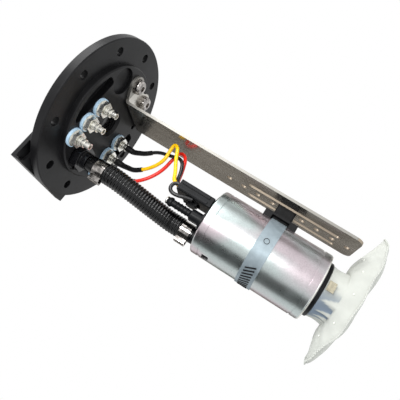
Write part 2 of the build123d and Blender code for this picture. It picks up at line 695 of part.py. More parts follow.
def chamber_plate():
    z0, z1 = CHAMBER_END, CHAMBER_TOP
    body = cyl(PX, PY, z0, z1, BORE_R - 0.05) + cyl(PX, PY, z1, z1 + 2, 7)
    body -= cyl(PX, PY, z0 - 4, z1 + 8, SHAFT_R + 0.4)
    body -= cyl(PX, PY, z0 + 2, z1 + 8, 4.52)
    body -= tube(PX, PY, z0 - 1, z0 + 1.6, IMPELLER_R - 0.8, IMPELLER_R - 4.8)
    return body - cyl(PX + 2.2, PY + IMPELLER_R - 2.8, z0 - 4, z1 + 8, 2)


def impeller():
    z = IMPELLER_TOP
    body = tube(PX, PY, z - IMPELLER_T, z, IMPELLER_R, SHAFT_R + 0.02)
    body -= [at_can(360 / 30 * i) * Pos(IMPELLER_R - 0.6, 0, z - IMPELLER_T / 2) * Box(4, 1.9, 9)
             for i in range(30)]
    return body


def inlet_cover():
    floor = CHAMBER_END - 4
    pipe_y = PY - INLET_DY
    body = cyl(PX, PY, CAN_END + LIP_T, CHAMBER_END, BORE_R - 0.05) + cyl(PX, PY, NECK_TOP, CAN_END + LIP_T, LIP_R - 0.1)
    body -= cyl(PX, PY, floor, CHAMBER_END + 4, IMPELLER_R + 0.4)
    body -= tube(PX, PY, floor - 1.6, floor + 1, IMPELLER_R - 0.8, IMPELLER_R - 4.8)
    body -= cyl(PX, PY, floor - 3, floor + 1, SHAFT_R + 0.4)
    body += cyl(PX, pipe_y, NECK_TOP - 8.5, NECK_TOP, 5.5)
    body += cyl(PX, PY + INLET_DY, NECK_TOP - 5.7, NECK_TOP, 1.5)
    bend = cyl(PX, pipe_y, NECK_TOP - 14.5, floor - 6, 4.1)
    bend += block(PX - 3, PX + 3, PY + 2.5 - IMPELLER_R, pipe_y + 1, floor - 7, floor - 0.5)
    return body - bend


# Strainer

def filter_neck():
    body = cyl(PX, PY, NECK_TOP - 3, NECK_TOP, NECK_R)
    body = chamfer(body.edges().group_by(Axis.Z)[0], 0.6)
    body += cyl(PX, PY - INLET_DY, NECK_TOP - 8.5, NECK_TOP - 3, 7.4)
    body -= cyl(PX, PY - INLET_DY, NECK_TOP - 15, NECK_TOP + 10, 5.55)
    return body - cyl(PX, PY + INLET_DY, NECK_TOP - 15, NECK_TOP + 10, 1.56)


def push_nut():
    y, z = PY + INLET_DY, NECK_TOP - 3
    body = tube(PX, y, z - 0.7, z, 5, 1.53)
    return body - [Pos(PX, y, z) * Rot(0, 0, 60 * i) * Pos(2.6, 0, 0) * Box(2.4, 0.5, 3) for i in range(6)]


def in_sock(shape):
    return Pos(PX, SOCK_Y, SOCK_Z) * Rot(SOCK_TILT, 0, 0) * shape


def filter_frame():
    rails = [block(x - 1, x + 1, -30, 30, -1.2, 1.2) for x in (-10, 0, 10)]
    rungs = [block(-10, 10, y - 1, y + 1, -1.2, 1.2) for y in (-29, -14, 0, 14, 29)]
    posts = [cyl(PX + x, PY + y, SOCK_Z, NECK_TOP - 3, 1.3) for x in (-10, 10) for y in (-4, 11)]
    return total([in_sock(s) for s in rails + rungs] + posts)


def pillow(trim):
    a, b, c = SOCK_HALF
    return in_sock(scale(Sphere(1), by=(a - trim, b - trim, c - trim)))


def filter_sock():
    top = NECK_TOP - 3
    skin = SOCK_SKIN
    r = SOCK_NECK_R
    neck = turned(PX, PY, [(0, SOCK_Z), (r + 2.1, SOCK_Z + 4), (r, top - 6), (r, top), (0, top)])
    hollow = turned(PX, PY, [(0, SOCK_Z + 2), (r + 1.2, SOCK_Z + 5), (r - skin, top - 6), (r - skin, top + 1),
                             (0, top + 1)])
    hem = in_sock(Pos(0, 0, -0.4) * extrude(Ellipse(SOCK_HALF[0] + 2, SOCK_HALF[1] + 1), 0.8))
    return pillow(0) + neck + hem - (pillow(skin) + hollow)


def filter_tab():
    x, z = PX - SOCK_NECK_R - 0.3, NECK_TOP - 3.7
    body = block(x - 0.7, x, PY - 4.5, PY + 2.5, z - 5.3, z)
    return body + block(x - 1.2, x, PY - 3.5, PY + 1.5, z - 2.3, z - 0.4)


NODES = {
    "flange_plate": flange_plate,
    "outer_plate": outer_plate,
    "outer_plate_screws": outer_plate_screws,
    "port_plug": port_plug,
    "port_seal": port_seal,
    "outlet_fitting": outlet_fitting,
    "outlet_washer": outlet_washer,
    "outlet_nut": outlet_nut,
    "stud_insulators": lambda: at_studs(stud_insulator),
    "stud_washers_inner": lambda: at_studs(inner_washer),
    "stud_nuts_inner": lambda: at_studs(inner_nut),
    "stud_washers_outer": lambda: at_studs(outer_washer),
    "stud_nuts_outer": lambda: at_studs(outer_nut),
    "stud_pins_spare": lambda: at_studs(stud_pin, (-STUD_X,)),
    "stud_pins_wired": lambda: at_studs(stud_pin, (STUD_X,)),
    "heat_shrink_sleeves": lambda: group([heat_shrink(n) for n in WIRE_ROUTES]),
    "wire_black": lambda: wire("black"),
    "wire_yellow": lambda: wire("yellow"),
    "wire_red": lambda: wire("red"),
    "wire_pigtail": wire_pigtail,
    "hose_clamp_upper": lambda: hose_clamp(OUT_X, OUT_Y, CLAMP_TOP_Z),
    "hose_clamp_lower": lambda: hose_clamp(NIPPLE_X, NIPPLE_Y, CLAMP_LOW_Z),
    "corrugated_hose": corrugated_hose,
    "bracket": bracket,
    "bracket_screws": bracket_screws,
    "lock_washers": lock_washers,
    "saddle_block": saddle_block,
    "saddle_screw": saddle_screw,
    "band_strap": band_strap,
    "band_worm_housing": band_worm_housing,
    "band_worm_screw": band_worm_screw,
    "pump_can": pump_can,
    "pump_top_cap": pump_top_cap,
    "connector_pins": lambda: group(blades(0)),
    "connector_plug": connector_plug,
    "connector_latch": connector_latch,
    "relief_barb": relief_barb,
    "relief_poppet": relief_poppet,
    "relief_spring": relief_spring,
    "outlet_poppet": outlet_poppet,
    "outlet_spring": outlet_spring,
    "outlet_retainer": outlet_retainer,
    "brush_holder": brush_holder,
    "carbon_brushes": carbon_brushes,
    "brush_springs": brush_springs,
    "commutator": commutator,
    "armature_core": armature_core,
    "armature_windings": armature_windings,
    "field_magnets": field_magnets,
    "rotor_shaft": rotor_shaft,
    "upper_bearing": upper_bearing,
    "lower_bearing": lower_bearing,
    "chamber_plate": chamber_plate,
    "impeller": impeller,
    "inlet_cover": inlet_cover,
    "filter_neck": filter_neck,
    "push_nut": push_nut,
    "filter_frame": filter_frame,
    "filter_sock": filter_sock,
    "filter_tab": filter_tab,
}

os.makedirs("parts", exist_ok=True)
for node, make in NODES.items():
    export_step(make(), f"parts/{node}.step")
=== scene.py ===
import math

import bpy
from bpy.props import FloatProperty, FloatVectorProperty, IntProperty, PointerProperty
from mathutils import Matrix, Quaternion, Vector


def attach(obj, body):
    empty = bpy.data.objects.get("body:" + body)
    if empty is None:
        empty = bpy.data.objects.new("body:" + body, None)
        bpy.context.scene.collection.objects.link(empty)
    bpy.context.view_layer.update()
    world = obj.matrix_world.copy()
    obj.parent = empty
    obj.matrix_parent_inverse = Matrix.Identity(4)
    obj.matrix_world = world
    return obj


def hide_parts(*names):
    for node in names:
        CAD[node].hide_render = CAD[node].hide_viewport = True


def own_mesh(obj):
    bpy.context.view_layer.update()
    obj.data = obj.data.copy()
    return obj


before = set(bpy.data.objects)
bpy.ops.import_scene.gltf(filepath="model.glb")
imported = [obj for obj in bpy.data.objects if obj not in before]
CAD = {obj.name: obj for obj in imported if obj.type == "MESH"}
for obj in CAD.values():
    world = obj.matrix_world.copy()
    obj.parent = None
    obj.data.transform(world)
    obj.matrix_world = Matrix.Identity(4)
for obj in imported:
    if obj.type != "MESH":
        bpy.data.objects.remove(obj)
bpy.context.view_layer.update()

bl_info = {
    "name": "Fuel pump module",
    "version": (1, 0, 0),
    "blender": (4, 5, 0),
    "location": "View3D > Sidebar > Fuel pump",
    "description": "Dresses the in-tank fuel pump module and sets its studio",
    "category": "Object",
}

MM = 0.001
# Spacing, in metres, of a wave texture's bands at a scale of 1.
WAVE_STEP = math.pi / 10


def srgb(code):
    """Linear colour for a hex code."""
    parts = [int(code[i:i + 2], 16) / 255 for i in (1, 3, 5)]
    return tuple(v / 12.92 if v <= 0.04045 else ((v + 0.055) / 1.055) ** 2.4 for v in parts)


def add(tree, kind, inputs=None, **settings):
    """Adds a node with its settings, and links or sets its inputs."""
    node = tree.nodes.new(kind)
    for name, value in settings.items():
        setattr(node, name, value)
    for name, value in (inputs or {}).items():
        socket = node.inputs[name]
        if isinstance(value, bpy.types.Node):
            value = value.outputs[0]
        if isinstance(value, bpy.types.NodeSocket):
            tree.links.new(value, socket)
        else:
            socket.default_value = value
    return node


# Sizes and colours

def colour(name, code, description):
    """Colour property whose default is a hex code."""
    return FloatVectorProperty(name=name, subtype="COLOR", size=3, min=0, max=1,
                               default=srgb(code), description=description)


def length(name, mm, description):
    """Length property whose default is in millimetres."""
    return FloatProperty(name=name, default=mm * MM, unit="LENGTH", min=0, description=description)


class MetalFinish(bpy.types.PropertyGroup):
    anodised: colour("Anodised flange", "#151516", "Black dye in the flange's oxide layer")
    zinc: colour("Zinc plate", "#e6e5df", "Nuts, studs and small hardware")
    can_pink: colour("Can, pink film", "#c6bbc0", "Clear zinc on the can, where it looks pink")
    can_green: colour("Can, green film", "#bcc6c5", "Clear zinc on the can, where it looks green")
    stainless: colour("Stainless", "#cfccc5", "Polished bracket")
    clip: colour("Clip steel", "#beb9b5", "Polished ear clamps and screws")
    # Painted shade and warm reflection inside the holes and slots, over the dull torn steel.
    punched: colour("Punched wall shade", "#9f9384", "Torn steel inside the bracket's holes and slots, painted with its shade and warm reflections")
    band: colour("Band", "#8b979d", "Dull blue-grey zinc of the band clamp")
    fitting: colour("Outlet fitting", "#101012", "Gloss black of the outlet fitting and the port's plug")


class MouldedFinish(bpy.types.PropertyGroup):
    plastic: colour("Black plastic", "#111214", "Connector, pump cap and saddle")
    hose: colour("Hose", "#060607", "Glossy corrugated hose")
    rubber: colour("Rubber", "#101011", "Sleeves and seals")
    insulator: colour("Insulator", "#b4d0e4", "Pale blue washers under the nuts")
    tab: colour("Tab", "#9c9580", "Small tan tab on the strainer")
    mesh: colour("Strainer mesh", "#bcbeb6", "White woven strainer")
    # Painted shadow: the pleats' shade under the pump's cap, painted into the cloth's colour.
    fold: colour("Strainer fold shadow", "#73808e", "Shadow in the pleats of the neck")


class WireSizes(bpy.types.PropertyGroup):
    diameter: length("Diameter", 2.7, "Outside of the insulation")
    red: colour("Red", "#f02818", "Feed wire")
    yellow: colour("Yellow", "#fdc400", "Second wire")
    black: colour("Black", "#121213", "Return wire")


class HoseSizes(bpy.types.PropertyGroup):
    crest: length("Crest radius", 7.45, "Outside of a corrugation")
    valley: length("Valley radius", 6.85, "Bottom of a groove")
    cuff: length("Cuff radius", 6.0, "Plain end under a clamp")
    pitch: length("Pitch", 2.2, "From one corrugation to the next")
    plain: length("Upper plain end", 14.4, "Under the clamp at the flange")
    plain_low: length("Lower plain end", 9.4, "Under the clamp at the pump")


class ThreadSizes(bpy.types.PropertyGroup):
    port_pitch: length("Port pitch", 1.5, "Spare port's thread")
    stud_pitch: length("Stud pitch", 0.8, "Studs' thread")
    barb_pitch: length("Barb pitch", 2.8, "Between the ridges of the relief barb")
    slit_width: length("Slit width", 1.0, "Across a slit of the band")
    slit_length: length("Slit length", 7.8, "Along a slit of the band")


class SockSizes(bpy.types.PropertyGroup):
    neck: length("Neck radius", 19.5, "Gathered neck below the pump")
    width: length("Half width", 23.0, "Across the bag")
    length: length("Half length", 51.0, "Along the bag")
    tall: length("Neck height", 12.0, "Straight part of the neck")
    depth: length("Depth", 8.8, "From the middle of the bag down to its underside")
    drop: length("Seam drop", 5.8, "From the middle of the bag down to its welded edge")
    weld_pitch: length("Weld pitch", 2.1, "Between the teeth of the welded edge")
    seed: IntProperty(name="Seed", default=4, description="Places of the creases")


class StudioSettings(bpy.types.PropertyGroup):
    key: FloatProperty(name="Key lamp", default=4.3, unit="POWER", description="Large soft lamp")
    fill: FloatProperty(name="Fill lamp", default=1.9, unit="POWER", description="Lamp on the camera's side")
    floor: colour("Floor", "#f4f4f2", "Pale floor")


GROUPS = {"pump_metal": MetalFinish, "pump_moulded": MouldedFinish, "pump_wires": WireSizes,
          "pump_hose": HoseSizes, "pump_threads": ThreadSizes, "pump_sock": SockSizes,
          "pump_studio": StudioSettings}


# Surfaces

# The bracket's strip: its middle and half its width along X, and where it starts below the bend.
STRIP_MIDDLE, STRIP_HALF, STRIP_TOP = 13.4, 19.6, -15.0
# How far in from the strip's side its sheared edge begins; the edge is duller and painted dark as a shaded
# outline.
SHEARED_AND_SHADED = 0.15
# Drawn spacing of the cutter's rings, and of the strainer's threads.
CUTTER_SPACING, WEAVE_SPACING = 2.37, 1.776


def surface(name, base, metallic=0.0, roughness=0.5, **settings):
    """A new material with its shader; returns material, tree, shader and object coordinates."""
    material = bpy.data.materials.new(name)
    material.use_nodes = True
    tree = material.node_tree
    tree.nodes.clear()
    values = {"Base Color": (*base, 1), "Metallic": metallic, "Roughness": roughness, **settings}
    shader = add(tree, "ShaderNodeBsdfPrincipled", values)
    add(tree, "ShaderNodeOutputMaterial", {"Surface": shader})
    place = add(tree, "ShaderNodeTexCoord").outputs["Object"]
    return material, tree, shader, place


def grain(tree, place, size_mm, detail=3.0, stretch=(1, 1, 1)):
    """Irregular pattern whose spots are about this many millimetres across."""
    spread = add(tree, "ShaderNodeMapping", {"Vector": place, "Scale": stretch})
    return add(tree, "ShaderNodeTexNoise", {"Vector": spread, "Scale": 1 / (size_mm * MM), "Detail": detail})


def tint(tree, shader, pattern, first, second, start=0.35, end=0.65):
    """Base colour that runs from first to second with the pattern."""
    amount = add(tree, "ShaderNodeMapRange", {"Value": pattern, "From Min": start, "From Max": end})
    mix = add(tree, "ShaderNodeMix", {0: amount, 6: (*first, 1), 7: (*second, 1)}, data_type="RGBA")
    tree.links.new(mix.outputs[2], shader.inputs["Base Color"])
    return mix


def wear(tree, shader, pattern, low, high):
    """Roughness that runs from low to high with the pattern."""
    amount = add(tree, "ShaderNodeMapRange", {"Value": pattern, "From Min": 0.3, "From Max": 0.7,
                                              "To Min": low, "To Max": high})
    tree.links.new(amount.outputs[0], shader.inputs["Roughness"])


def relief(tree, shader, height, depth_mm, edge_mm=0.0):
    """Surface texture of this depth, with edges broken by this radius where one is given."""
    bump = add(tree, "ShaderNodeBump", {"Height": height, "Distance": depth_mm * MM})
    if edge_mm:
        edge = add(tree, "ShaderNodeBevel", {"Radius": edge_mm * MM}, samples=6)
        tree.links.new(edge.outputs[0], bump.inputs["Normal"])
    tree.links.new(bump.outputs[0], shader.inputs["Normal"])


def shade(c, factor):
    """The colour made darker or lighter."""
    return tuple(min(1, v * factor) for v in c)


def anodised_aluminium(c):
    # Machined then black anodised: dark satin, the cutter's rings just catch the light. They are 0.1 mm
    # apart, drawn 2.4 mm so that they show.
    material, tree, shader, place = surface("anodised_aluminium", c, 0.0, 0.42,
                                            **{"Specular IOR Level": 0.16})
    tint(tree, shader, grain(tree, place, 16), shade(c, 0.8), shade(c, 1.35))
    wear(tree, shader, grain(tree, place, 0.5), 0.3, 0.44)
    scale = WAVE_STEP / (CUTTER_SPACING * MM)
    rings = add(tree, "ShaderNodeTexWave", {"Vector": place, "Scale": scale, "Distortion": 0.0},
                wave_type="RINGS", rings_direction="Z")
    relief(tree, shader, rings, 0.006, 0.35)
    return material


def zinc_plate(c):
    # Electroplated zinc over steel: bright, slightly cloudy, small handling marks.
    material, tree, shader, place = surface("zinc_plate", c, 1.0, 0.28)
    tint(tree, shader, grain(tree, place, 3), shade(c, 0.92), shade(c, 1.08))
    wear(tree, shader, grain(tree, place, 2.5), 0.24, 0.32)
    return material


def drawn_can_zinc(pink, green):
    # Deep-drawn can with clear zinc: smooth bands of light, a fine spangle, and faint pink and
    # green interference. The spangle is 0.3 mm across, drawn 0.9 mm so that it shows.
    material, tree, shader, place = surface("drawn_can_zinc", pink, 1.0, 0.28)
    film = tint(tree, shader, grain(tree, place, 22, 1.0, (1, 1, 0.4)), pink, green, 0.42, 0.58)
    spangle = add(tree, "ShaderNodeMapRange", {"Value": grain(tree, place, 0.9), "From Min": 0.25,
                                               "From Max": 0.75, "To Min": 0.86, "To Max": 1.08})
    toned = add(tree, "ShaderNodeMix", {0: 1.0, 6: film.outputs[2], 7: spangle}, data_type="RGBA",
                blend_type="MULTIPLY")
    tree.links.new(toned.outputs[2], shader.inputs["Base Color"])
    wear(tree, shader, grain(tree, place, 8), 0.27, 0.33)
    relief(tree, shader, grain(tree, place, 0.7, 2.0), 0.004)
    return material


def polished_stainless(c, wall_shade_colour):
    # Polished stainless sheet: soft reflections down the strip, duller sheared edges along both sides with a
    # painted shade that darkens them to an outline, and dull walls where the holes and slots are punched,
    # painted warm tan for the shade and warm reflections inside them.
    material, tree, shader, place = surface("polished_stainless", c, 1.0, 0.22)
    face = tint(tree, shader, grain(tree, place, 24, 2.0, (1, 1, 0.5)), shade(c, 0.8), shade(c, 1.08))
    rub = add(tree, "ShaderNodeMapRange", {"Value": grain(tree, place, 2.0, 2.0, (1, 1, 0.05)),
                                           "From Min": 0.3, "From Max": 0.7, "To Min": 0.2, "To Max": 0.25})
    at = add(tree, "ShaderNodeSeparateXYZ", {"Vector": place})
    off = add(tree, "ShaderNodeMath", {0: at.outputs["X"], 1: STRIP_MIDDLE * MM}, operation="SUBTRACT")
    side = add(tree, "ShaderNodeMath", {0: off}, operation="ABSOLUTE")
    # Painted shade: the sheared side edges are painted half as bright, as a dark outline.
    edge = add(tree, "ShaderNodeMapRange", {"Value": side, "From Min": (STRIP_HALF - SHEARED_AND_SHADED) * MM,
                                            "From Max": (STRIP_HALF - SHEARED_AND_SHADED / 3) * MM})
    # A punched wall turns away from the sheet's own direction, which is Y below the bend.
    normal = add(tree, "ShaderNodeTexCoord").outputs["Normal"]
    way = add(tree, "ShaderNodeSeparateXYZ", {"Vector": normal})
    facing = add(tree, "ShaderNodeMath", {0: way.outputs["Y"]}, operation="ABSOLUTE")
    turned = add(tree, "ShaderNodeMapRange", {"Value": facing, "From Min": 0.8, "From Max": 0.5})
    below = add(tree, "ShaderNodeMath", {0: at.outputs["Z"], 1: STRIP_TOP * MM}, operation="LESS_THAN")
    wall = add(tree, "ShaderNodeMath", {0: turned, 1: below}, operation="MULTIPLY")
    # Painted shade: the punched walls take a warm tan that stands in for the shade and warm reflections
    # inside them.
    bare = add(tree, "ShaderNodeMix", {0: wall, 6: face.outputs[2], 7: (*wall_shade_colour, 1)},
               data_type="RGBA")
    tone = add(tree, "ShaderNodeMix", {0: edge, 6: bare.outputs[2], 7: (*shade(c, 0.5), 1)},
               data_type="RGBA")
    tree.links.new(tone.outputs[2], shader.inputs["Base Color"])
    worn = add(tree, "ShaderNodeMath", {0: edge, 1: wall}, operation="MAXIMUM")
    dull = add(tree, "ShaderNodeMix", {0: worn, 2: rub, 3: 0.5}, data_type="FLOAT")
    tree.links.new(dull.outputs[0], shader.inputs["Roughness"])
    return material


def clip_steel(c):
    # Bright rolled strip and cold-headed screws: near mirror, soft rolled edges, with dark patches painted
    # into the colour as reflections of dark surroundings.
    material, tree, shader, place = surface("clip_steel", c, 1.0, 0.14)
    rub_and_painted_reflection = grain(tree, place, 3)
    # Painted reflection: dark cloudy patches in the base colour.
    tint(tree, shader, rub_and_painted_reflection, shade(c, 0.42), shade(c, 0.95), 0.4, 0.6)
    wear(tree, shader, rub_and_painted_reflection, 0.1, 0.17)
    relief(tree, shader, grain(tree, place, 2.0), 0.003)
    return material


def band_zinc(c):
    # Dull chromated zinc on the worm band: matt blue-grey with rubbed paler patches.
    material, tree, shader, place = surface("band_zinc", c, 0.6, 0.5)
    tint(tree, shader, grain(tree, place, 5), shade(c, 0.9), shade(c, 1.08))
    wear(tree, shader, grain(tree, place, 1.0), 0.42, 0.54)
    relief(tree, shader, grain(tree, place, 0.8), 0.008)
    return material


def gloss_anodised(c):
    # Bright-dipped black anodised fitting: glossy, crisp highlights on its flats.
    material, tree, shader, place = surface("gloss_anodised", c, 0.0, 0.12)
    wear(tree, shader, grain(tree, place, 3), 0.1, 0.16)
    relief(tree, shader, grain(tree, place, 3), 0.002, 0.45)
    return material


def moulded_nylon(c):
    # Glass-filled nylon out of a spark-eroded mould: fine grain, slight cloudy gloss.
    material, tree, shader, place = surface("moulded_nylon", c, 0.0, 0.4, **{"Specular IOR Level": 0.16})
    fine = grain(tree, place, 0.35)
    tint(tree, shader, grain(tree, place, 6), shade(c, 0.85), shade(c, 1.3))
    wear(tree, shader, fine, 0.32, 0.46)
    relief(tree, shader, fine, 0.012, 0.3)
    return material


def hose_nylon(c):
    # Extruded corrugated tube: smooth and glossy, crests catch a row of highlights.
    material, tree, shader, place = surface("hose_nylon", c, 0.0, 0.16, **{"Specular IOR Level": 0.34})
    wear(tree, shader, grain(tree, place, 6), 0.12, 0.2)
    return material


def soft_rubber(c):
    # Nitrile and shrink tube: matt black, very fine bloom.
    material, tree, shader, place = surface("soft_rubber", c, 0.0, 0.5, **{"Specular IOR Level": 0.22})
    fine = grain(tree, place, 0.3)
    tint(tree, shader, grain(tree, place, 3), shade(c, 0.8), shade(c, 1.5))
    wear(tree, shader, fine, 0.45, 0.62)
    relief(tree, shader, fine, 0.012)
    return material


def natural_nylon(c):
    # Natural nylon washers and frame: bluish white, slightly waxy.
    material, tree, shader, place = surface("natural_nylon", c, 0.0, 0.42)
    tint(tree, shader, grain(tree, place, 3), shade(c, 0.92), shade(c, 1.04))
    relief(tree, shader, grain(tree, place, 0.8), 0.006)
    return material


def wire_pvc(name, c):
    # PVC insulation: smooth extrusion, a few scuffs along it.
    material, tree, shader, place = surface(name, c, 0.0, 0.32)
    tint(tree, shader, grain(tree, place, 2.5), shade(c, 0.88), shade(c, 1.08))
    fine = grain(tree, place, 0.6)
    wear(tree, shader, fine, 0.26, 0.38)
    relief(tree, shader, fine, 0.008)
    return material


def strainer_mesh(c, shadow):
    # Woven nylon strainer cloth: threads 0.25 mm apart, drawn 1.8 mm so that they show; lets light
    # through, and has a painted shadow in its folds under the pump's cap.
    material, tree, shader, place = surface("strainer_mesh", c, 0.0, 0.7, **{
        "Subsurface Weight": 0.3, "Subsurface Scale": 1.0, "Specular IOR Level": 0.25})
    shader.inputs["Subsurface Radius"].default_value = (0.005, 0.005, 0.005)
    thread = {"Vector": place, "Scale": WAVE_STEP / (WEAVE_SPACING * MM), "Distortion": 0.3}
    across = add(tree, "ShaderNodeTexWave", thread, bands_direction="X").outputs["Fac"]
    along = add(tree, "ShaderNodeTexWave", thread, bands_direction="Y").outputs["Fac"]
    weave = add(tree, "ShaderNodeMath", {0: across, 1: along}, operation="MAXIMUM")
    cloth = tint(tree, shader, grain(tree, place, 12), shade(c, 0.96), shade(c, 1.03))
    # The fold attribute holds the painted shadow under the cap.
    fold = add(tree, "ShaderNodeAttribute", attribute_name="fold").outputs["Fac"]
    painted_fold_shadow = add(tree, "ShaderNodeMix", {0: fold, 6: cloth.outputs[2], 7: (*shadow, 1)}, data_type="RGBA")
    tree.links.new(painted_fold_shadow.outputs[2], shader.inputs["Base Color"])
    relief(tree, shader, weave, 0.02)
    return material


def weld_spot_nylon(c):
    # Cloth melted by the welding tip: smooth, glossy and whiter than the weave.
    material, tree, shader, place = surface("weld_spot_nylon", c, 0.0, 0.2)
    tint(tree, shader, grain(tree, place, 0.8), shade(c, 1.5), shade(c, 1.7))
    return material


def plain_grained(name, base, metallic, roughness, grain_mm, depth_mm):
    """One colour with a cloudy grain, for small pieces that are hardly seen."""
    material, tree, shader, place = surface(name, base, metallic, roughness)
    pattern = grain(tree, place, grain_mm)
    tint(tree, shader, pattern, shade(base, 0.8), shade(base, 1.15))
    wear(tree, shader, pattern, roughness * 0.85, roughness * 1.15)
    relief(tree, shader, pattern, depth_mm)
    return material


def dress(material, *nodes):
    """Puts a finish on CAD nodes that stay as they are."""
    for node in nodes:
        for place in CAD[node].material_slots:
            place.material = material


# Geometry rules

def new_object(name, data):
    """Object in the scene for this mesh or curve."""
    item = bpy.data.objects.new(name, data)
    bpy.context.scene.collection.objects.link(item)
    return item


def rule(name, sizes):
    """An empty rule with named sizes; returns its tree and its two ends."""
    tree = bpy.data.node_groups.new(name, "GeometryNodeTree")
    tree.interface.new_socket("Geometry", in_out="INPUT", socket_type="NodeSocketGeometry")
    for label, value in sizes.items():
        kind = "NodeSocketInt" if isinstance(value, int) else "NodeSocketFloat"
        tree.interface.new_socket(label, in_out="INPUT", socket_type=kind).default_value = value
    tree.interface.new_socket("Geometry", in_out="OUTPUT", socket_type="NodeSocketGeometry")
    return tree, add(tree, "NodeGroupInput"), add(tree, "NodeGroupOutput")


def close_rule(tree, exit_node, geometry, material, smooth=True):
    """Realizes what the rule made, shades it and gives it its material."""
    real = add(tree, "GeometryNodeRealizeInstances", {"Geometry": geometry})
    soft = add(tree, "GeometryNodeSetShadeSmooth", {"Geometry": real, "Shade Smooth": smooth})
    dressed = add(tree, "GeometryNodeSetMaterial", {"Geometry": soft, "Material": material})
    tree.links.new(dressed.outputs[0], exit_node.inputs[0])


def grow(source, tree, sizes, name, body="module"):
    """Runs a rule on an object and keeps the result as a plain mesh that rides on a body."""
    modifier = source.modifiers.new("Rule", "NODES")
    modifier.node_group = tree
    for socket in tree.interface.items_tree:
        if socket.name in sizes:
            modifier[socket.identifier] = sizes[socket.name]
    bpy.context.view_layer.update()
    result = source.evaluated_get(bpy.context.evaluated_depsgraph_get())
    mesh = bpy.data.meshes.new_from_object(result)
    piece = new_object(name, mesh)
    source.modifiers.clear()
    bpy.data.objects.remove(source)
    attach(piece, body)
    return piece


def hoop(tree, radius, thickness, sides):
    """Round bar bent into a ring about Z; both sizes are radii."""
    circle = add(tree, "GeometryNodeCurvePrimitiveCircle", {"Resolution": sides, "Radius": radius})
    section = add(tree, "GeometryNodeCurvePrimitiveCircle", {"Resolution": 6, "Radius": thickness})
    return add(tree, "GeometryNodeCurveToMesh", {"Curve": circle, "Profile Curve": section})


def points_object(points):
    """Loose points, given in millimetres, for a rule to build on."""
    mesh = bpy.data.meshes.new("points")
    mesh.from_pydata([[v * MM for v in p] for p in points], [], [])
    return new_object("points", mesh)


def smooth_line(data, points, resolution):
    """Adds a line that rounds these points, given in millimetres, and keeps to its two ends."""
    spline = data.splines.new("NURBS")
    spline.points.add(len(points) - 1)
    for target, p in zip(spline.points, points):
        target.co = (*[v * MM for v in p], 1)
    spline.order_u = 3
    spline.use_endpoint_u = True
    spline.resolution_u = resolution
    return spline


def spline_object(name, points, radius=0.0):
    """Smooth line with the route's points as its control points, as thick as the radius."""
    line = bpy.data.curves.new(name, "CURVE")
    line.dimensions = "3D"
    smooth_line(line, points, 24)
    line.bevel_depth = radius
    line.bevel_resolution = 8
    line.use_fill_caps = radius > 0
    return new_object(name, line)


# Wires

# The pump's axis, and the studs' two rows of three.
PUMP_X, PUMP_Y = 16.5, 19.0
STUD_X, STUD_Y = 24.8, (1.9, 15.55, 29.2)
STUDS = [(x, y) for x in (-STUD_X, STUD_X) for y in STUD_Y]
CUP_Z, TURN_Z, WIRE_END = -15, -21, -74.7
WIRE_ROUTES = {
    "black": [(STUD_X, STUD_Y[0], CUP_Z), (STUD_X, STUD_Y[0], TURN_Z), (20.2, -0.6, -31), (16.4, -6.2, -40),
              (13.4, -7.2, -50.5), (8.4, -8.4, -61.5), (6.2, 2, -67.6), (5.2, 11, -69.2),
              (5.2, 11, WIRE_END)],
    "yellow": [(STUD_X, STUD_Y[1], CUP_Z), (STUD_X, STUD_Y[1], TURN_Z), (20.4, 15.2, -32.5), (16, 8.6, -43),
               (11.2, -0.4, -49.8), (8.8, -8.6, -49.6), (6.6, -14.6, -50.2), (3, -12.4, -55.2),
               (2.2, -3.2, -59.6), (0.9, 6, -66), (0.9, 12.5, -68.8), (0.9, 12.5, WIRE_END)],
    "red": [(STUD_X, STUD_Y[2], CUP_Z), (STUD_X, STUD_Y[2], TURN_Z), (20.6, 26, -33), (17.8, 18.4, -44.2),
            (17.2, 5.6, -51.2), (17, -7.6, -52.4), (14.8, -14.4, -54.6), (12.6, -12.6, -61.4),
            (10.8, -0.6, -66.4), (9.2, 11.6, -69.4), (9.2, 11.6, WIRE_END)],
    "pigtail": [(-2.4, 12.4, WIRE_END), (-2.5, 12.6, -71.2), (-3.4, 17.6, -70.2), (-4.2, 20.9, -73.4),
                (-3.8, 20.4, -79.0), (-3.2, 18.2, -84.0), (-2.6, 17.2, -88.5)],
}
WIRE_LENGTHS = {"black": 76.2, "yellow": 96.7, "red": 103.6}


def make_wires(scene):
    """Three leads from the studs to the plug, and the short pigtail beside it."""
    sizes = scene.pump_wires
    colours = {"red": sizes.red, "yellow": sizes.yellow, "black": sizes.black, "pigtail": sizes.black}
    for name, points in WIRE_ROUTES.items():
        piece = spline_object(f"{name}_lead", points, sizes.diameter / 2)
        piece.data.materials.append(wire_pvc(f"pvc_{name}", colours[name]))
        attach(piece, "module")
        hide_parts("wire_" + name)


SLEEVE_RADII = (2.55, 2.6, 2.5, 2.1, 1.95, 1.85, 1.8)


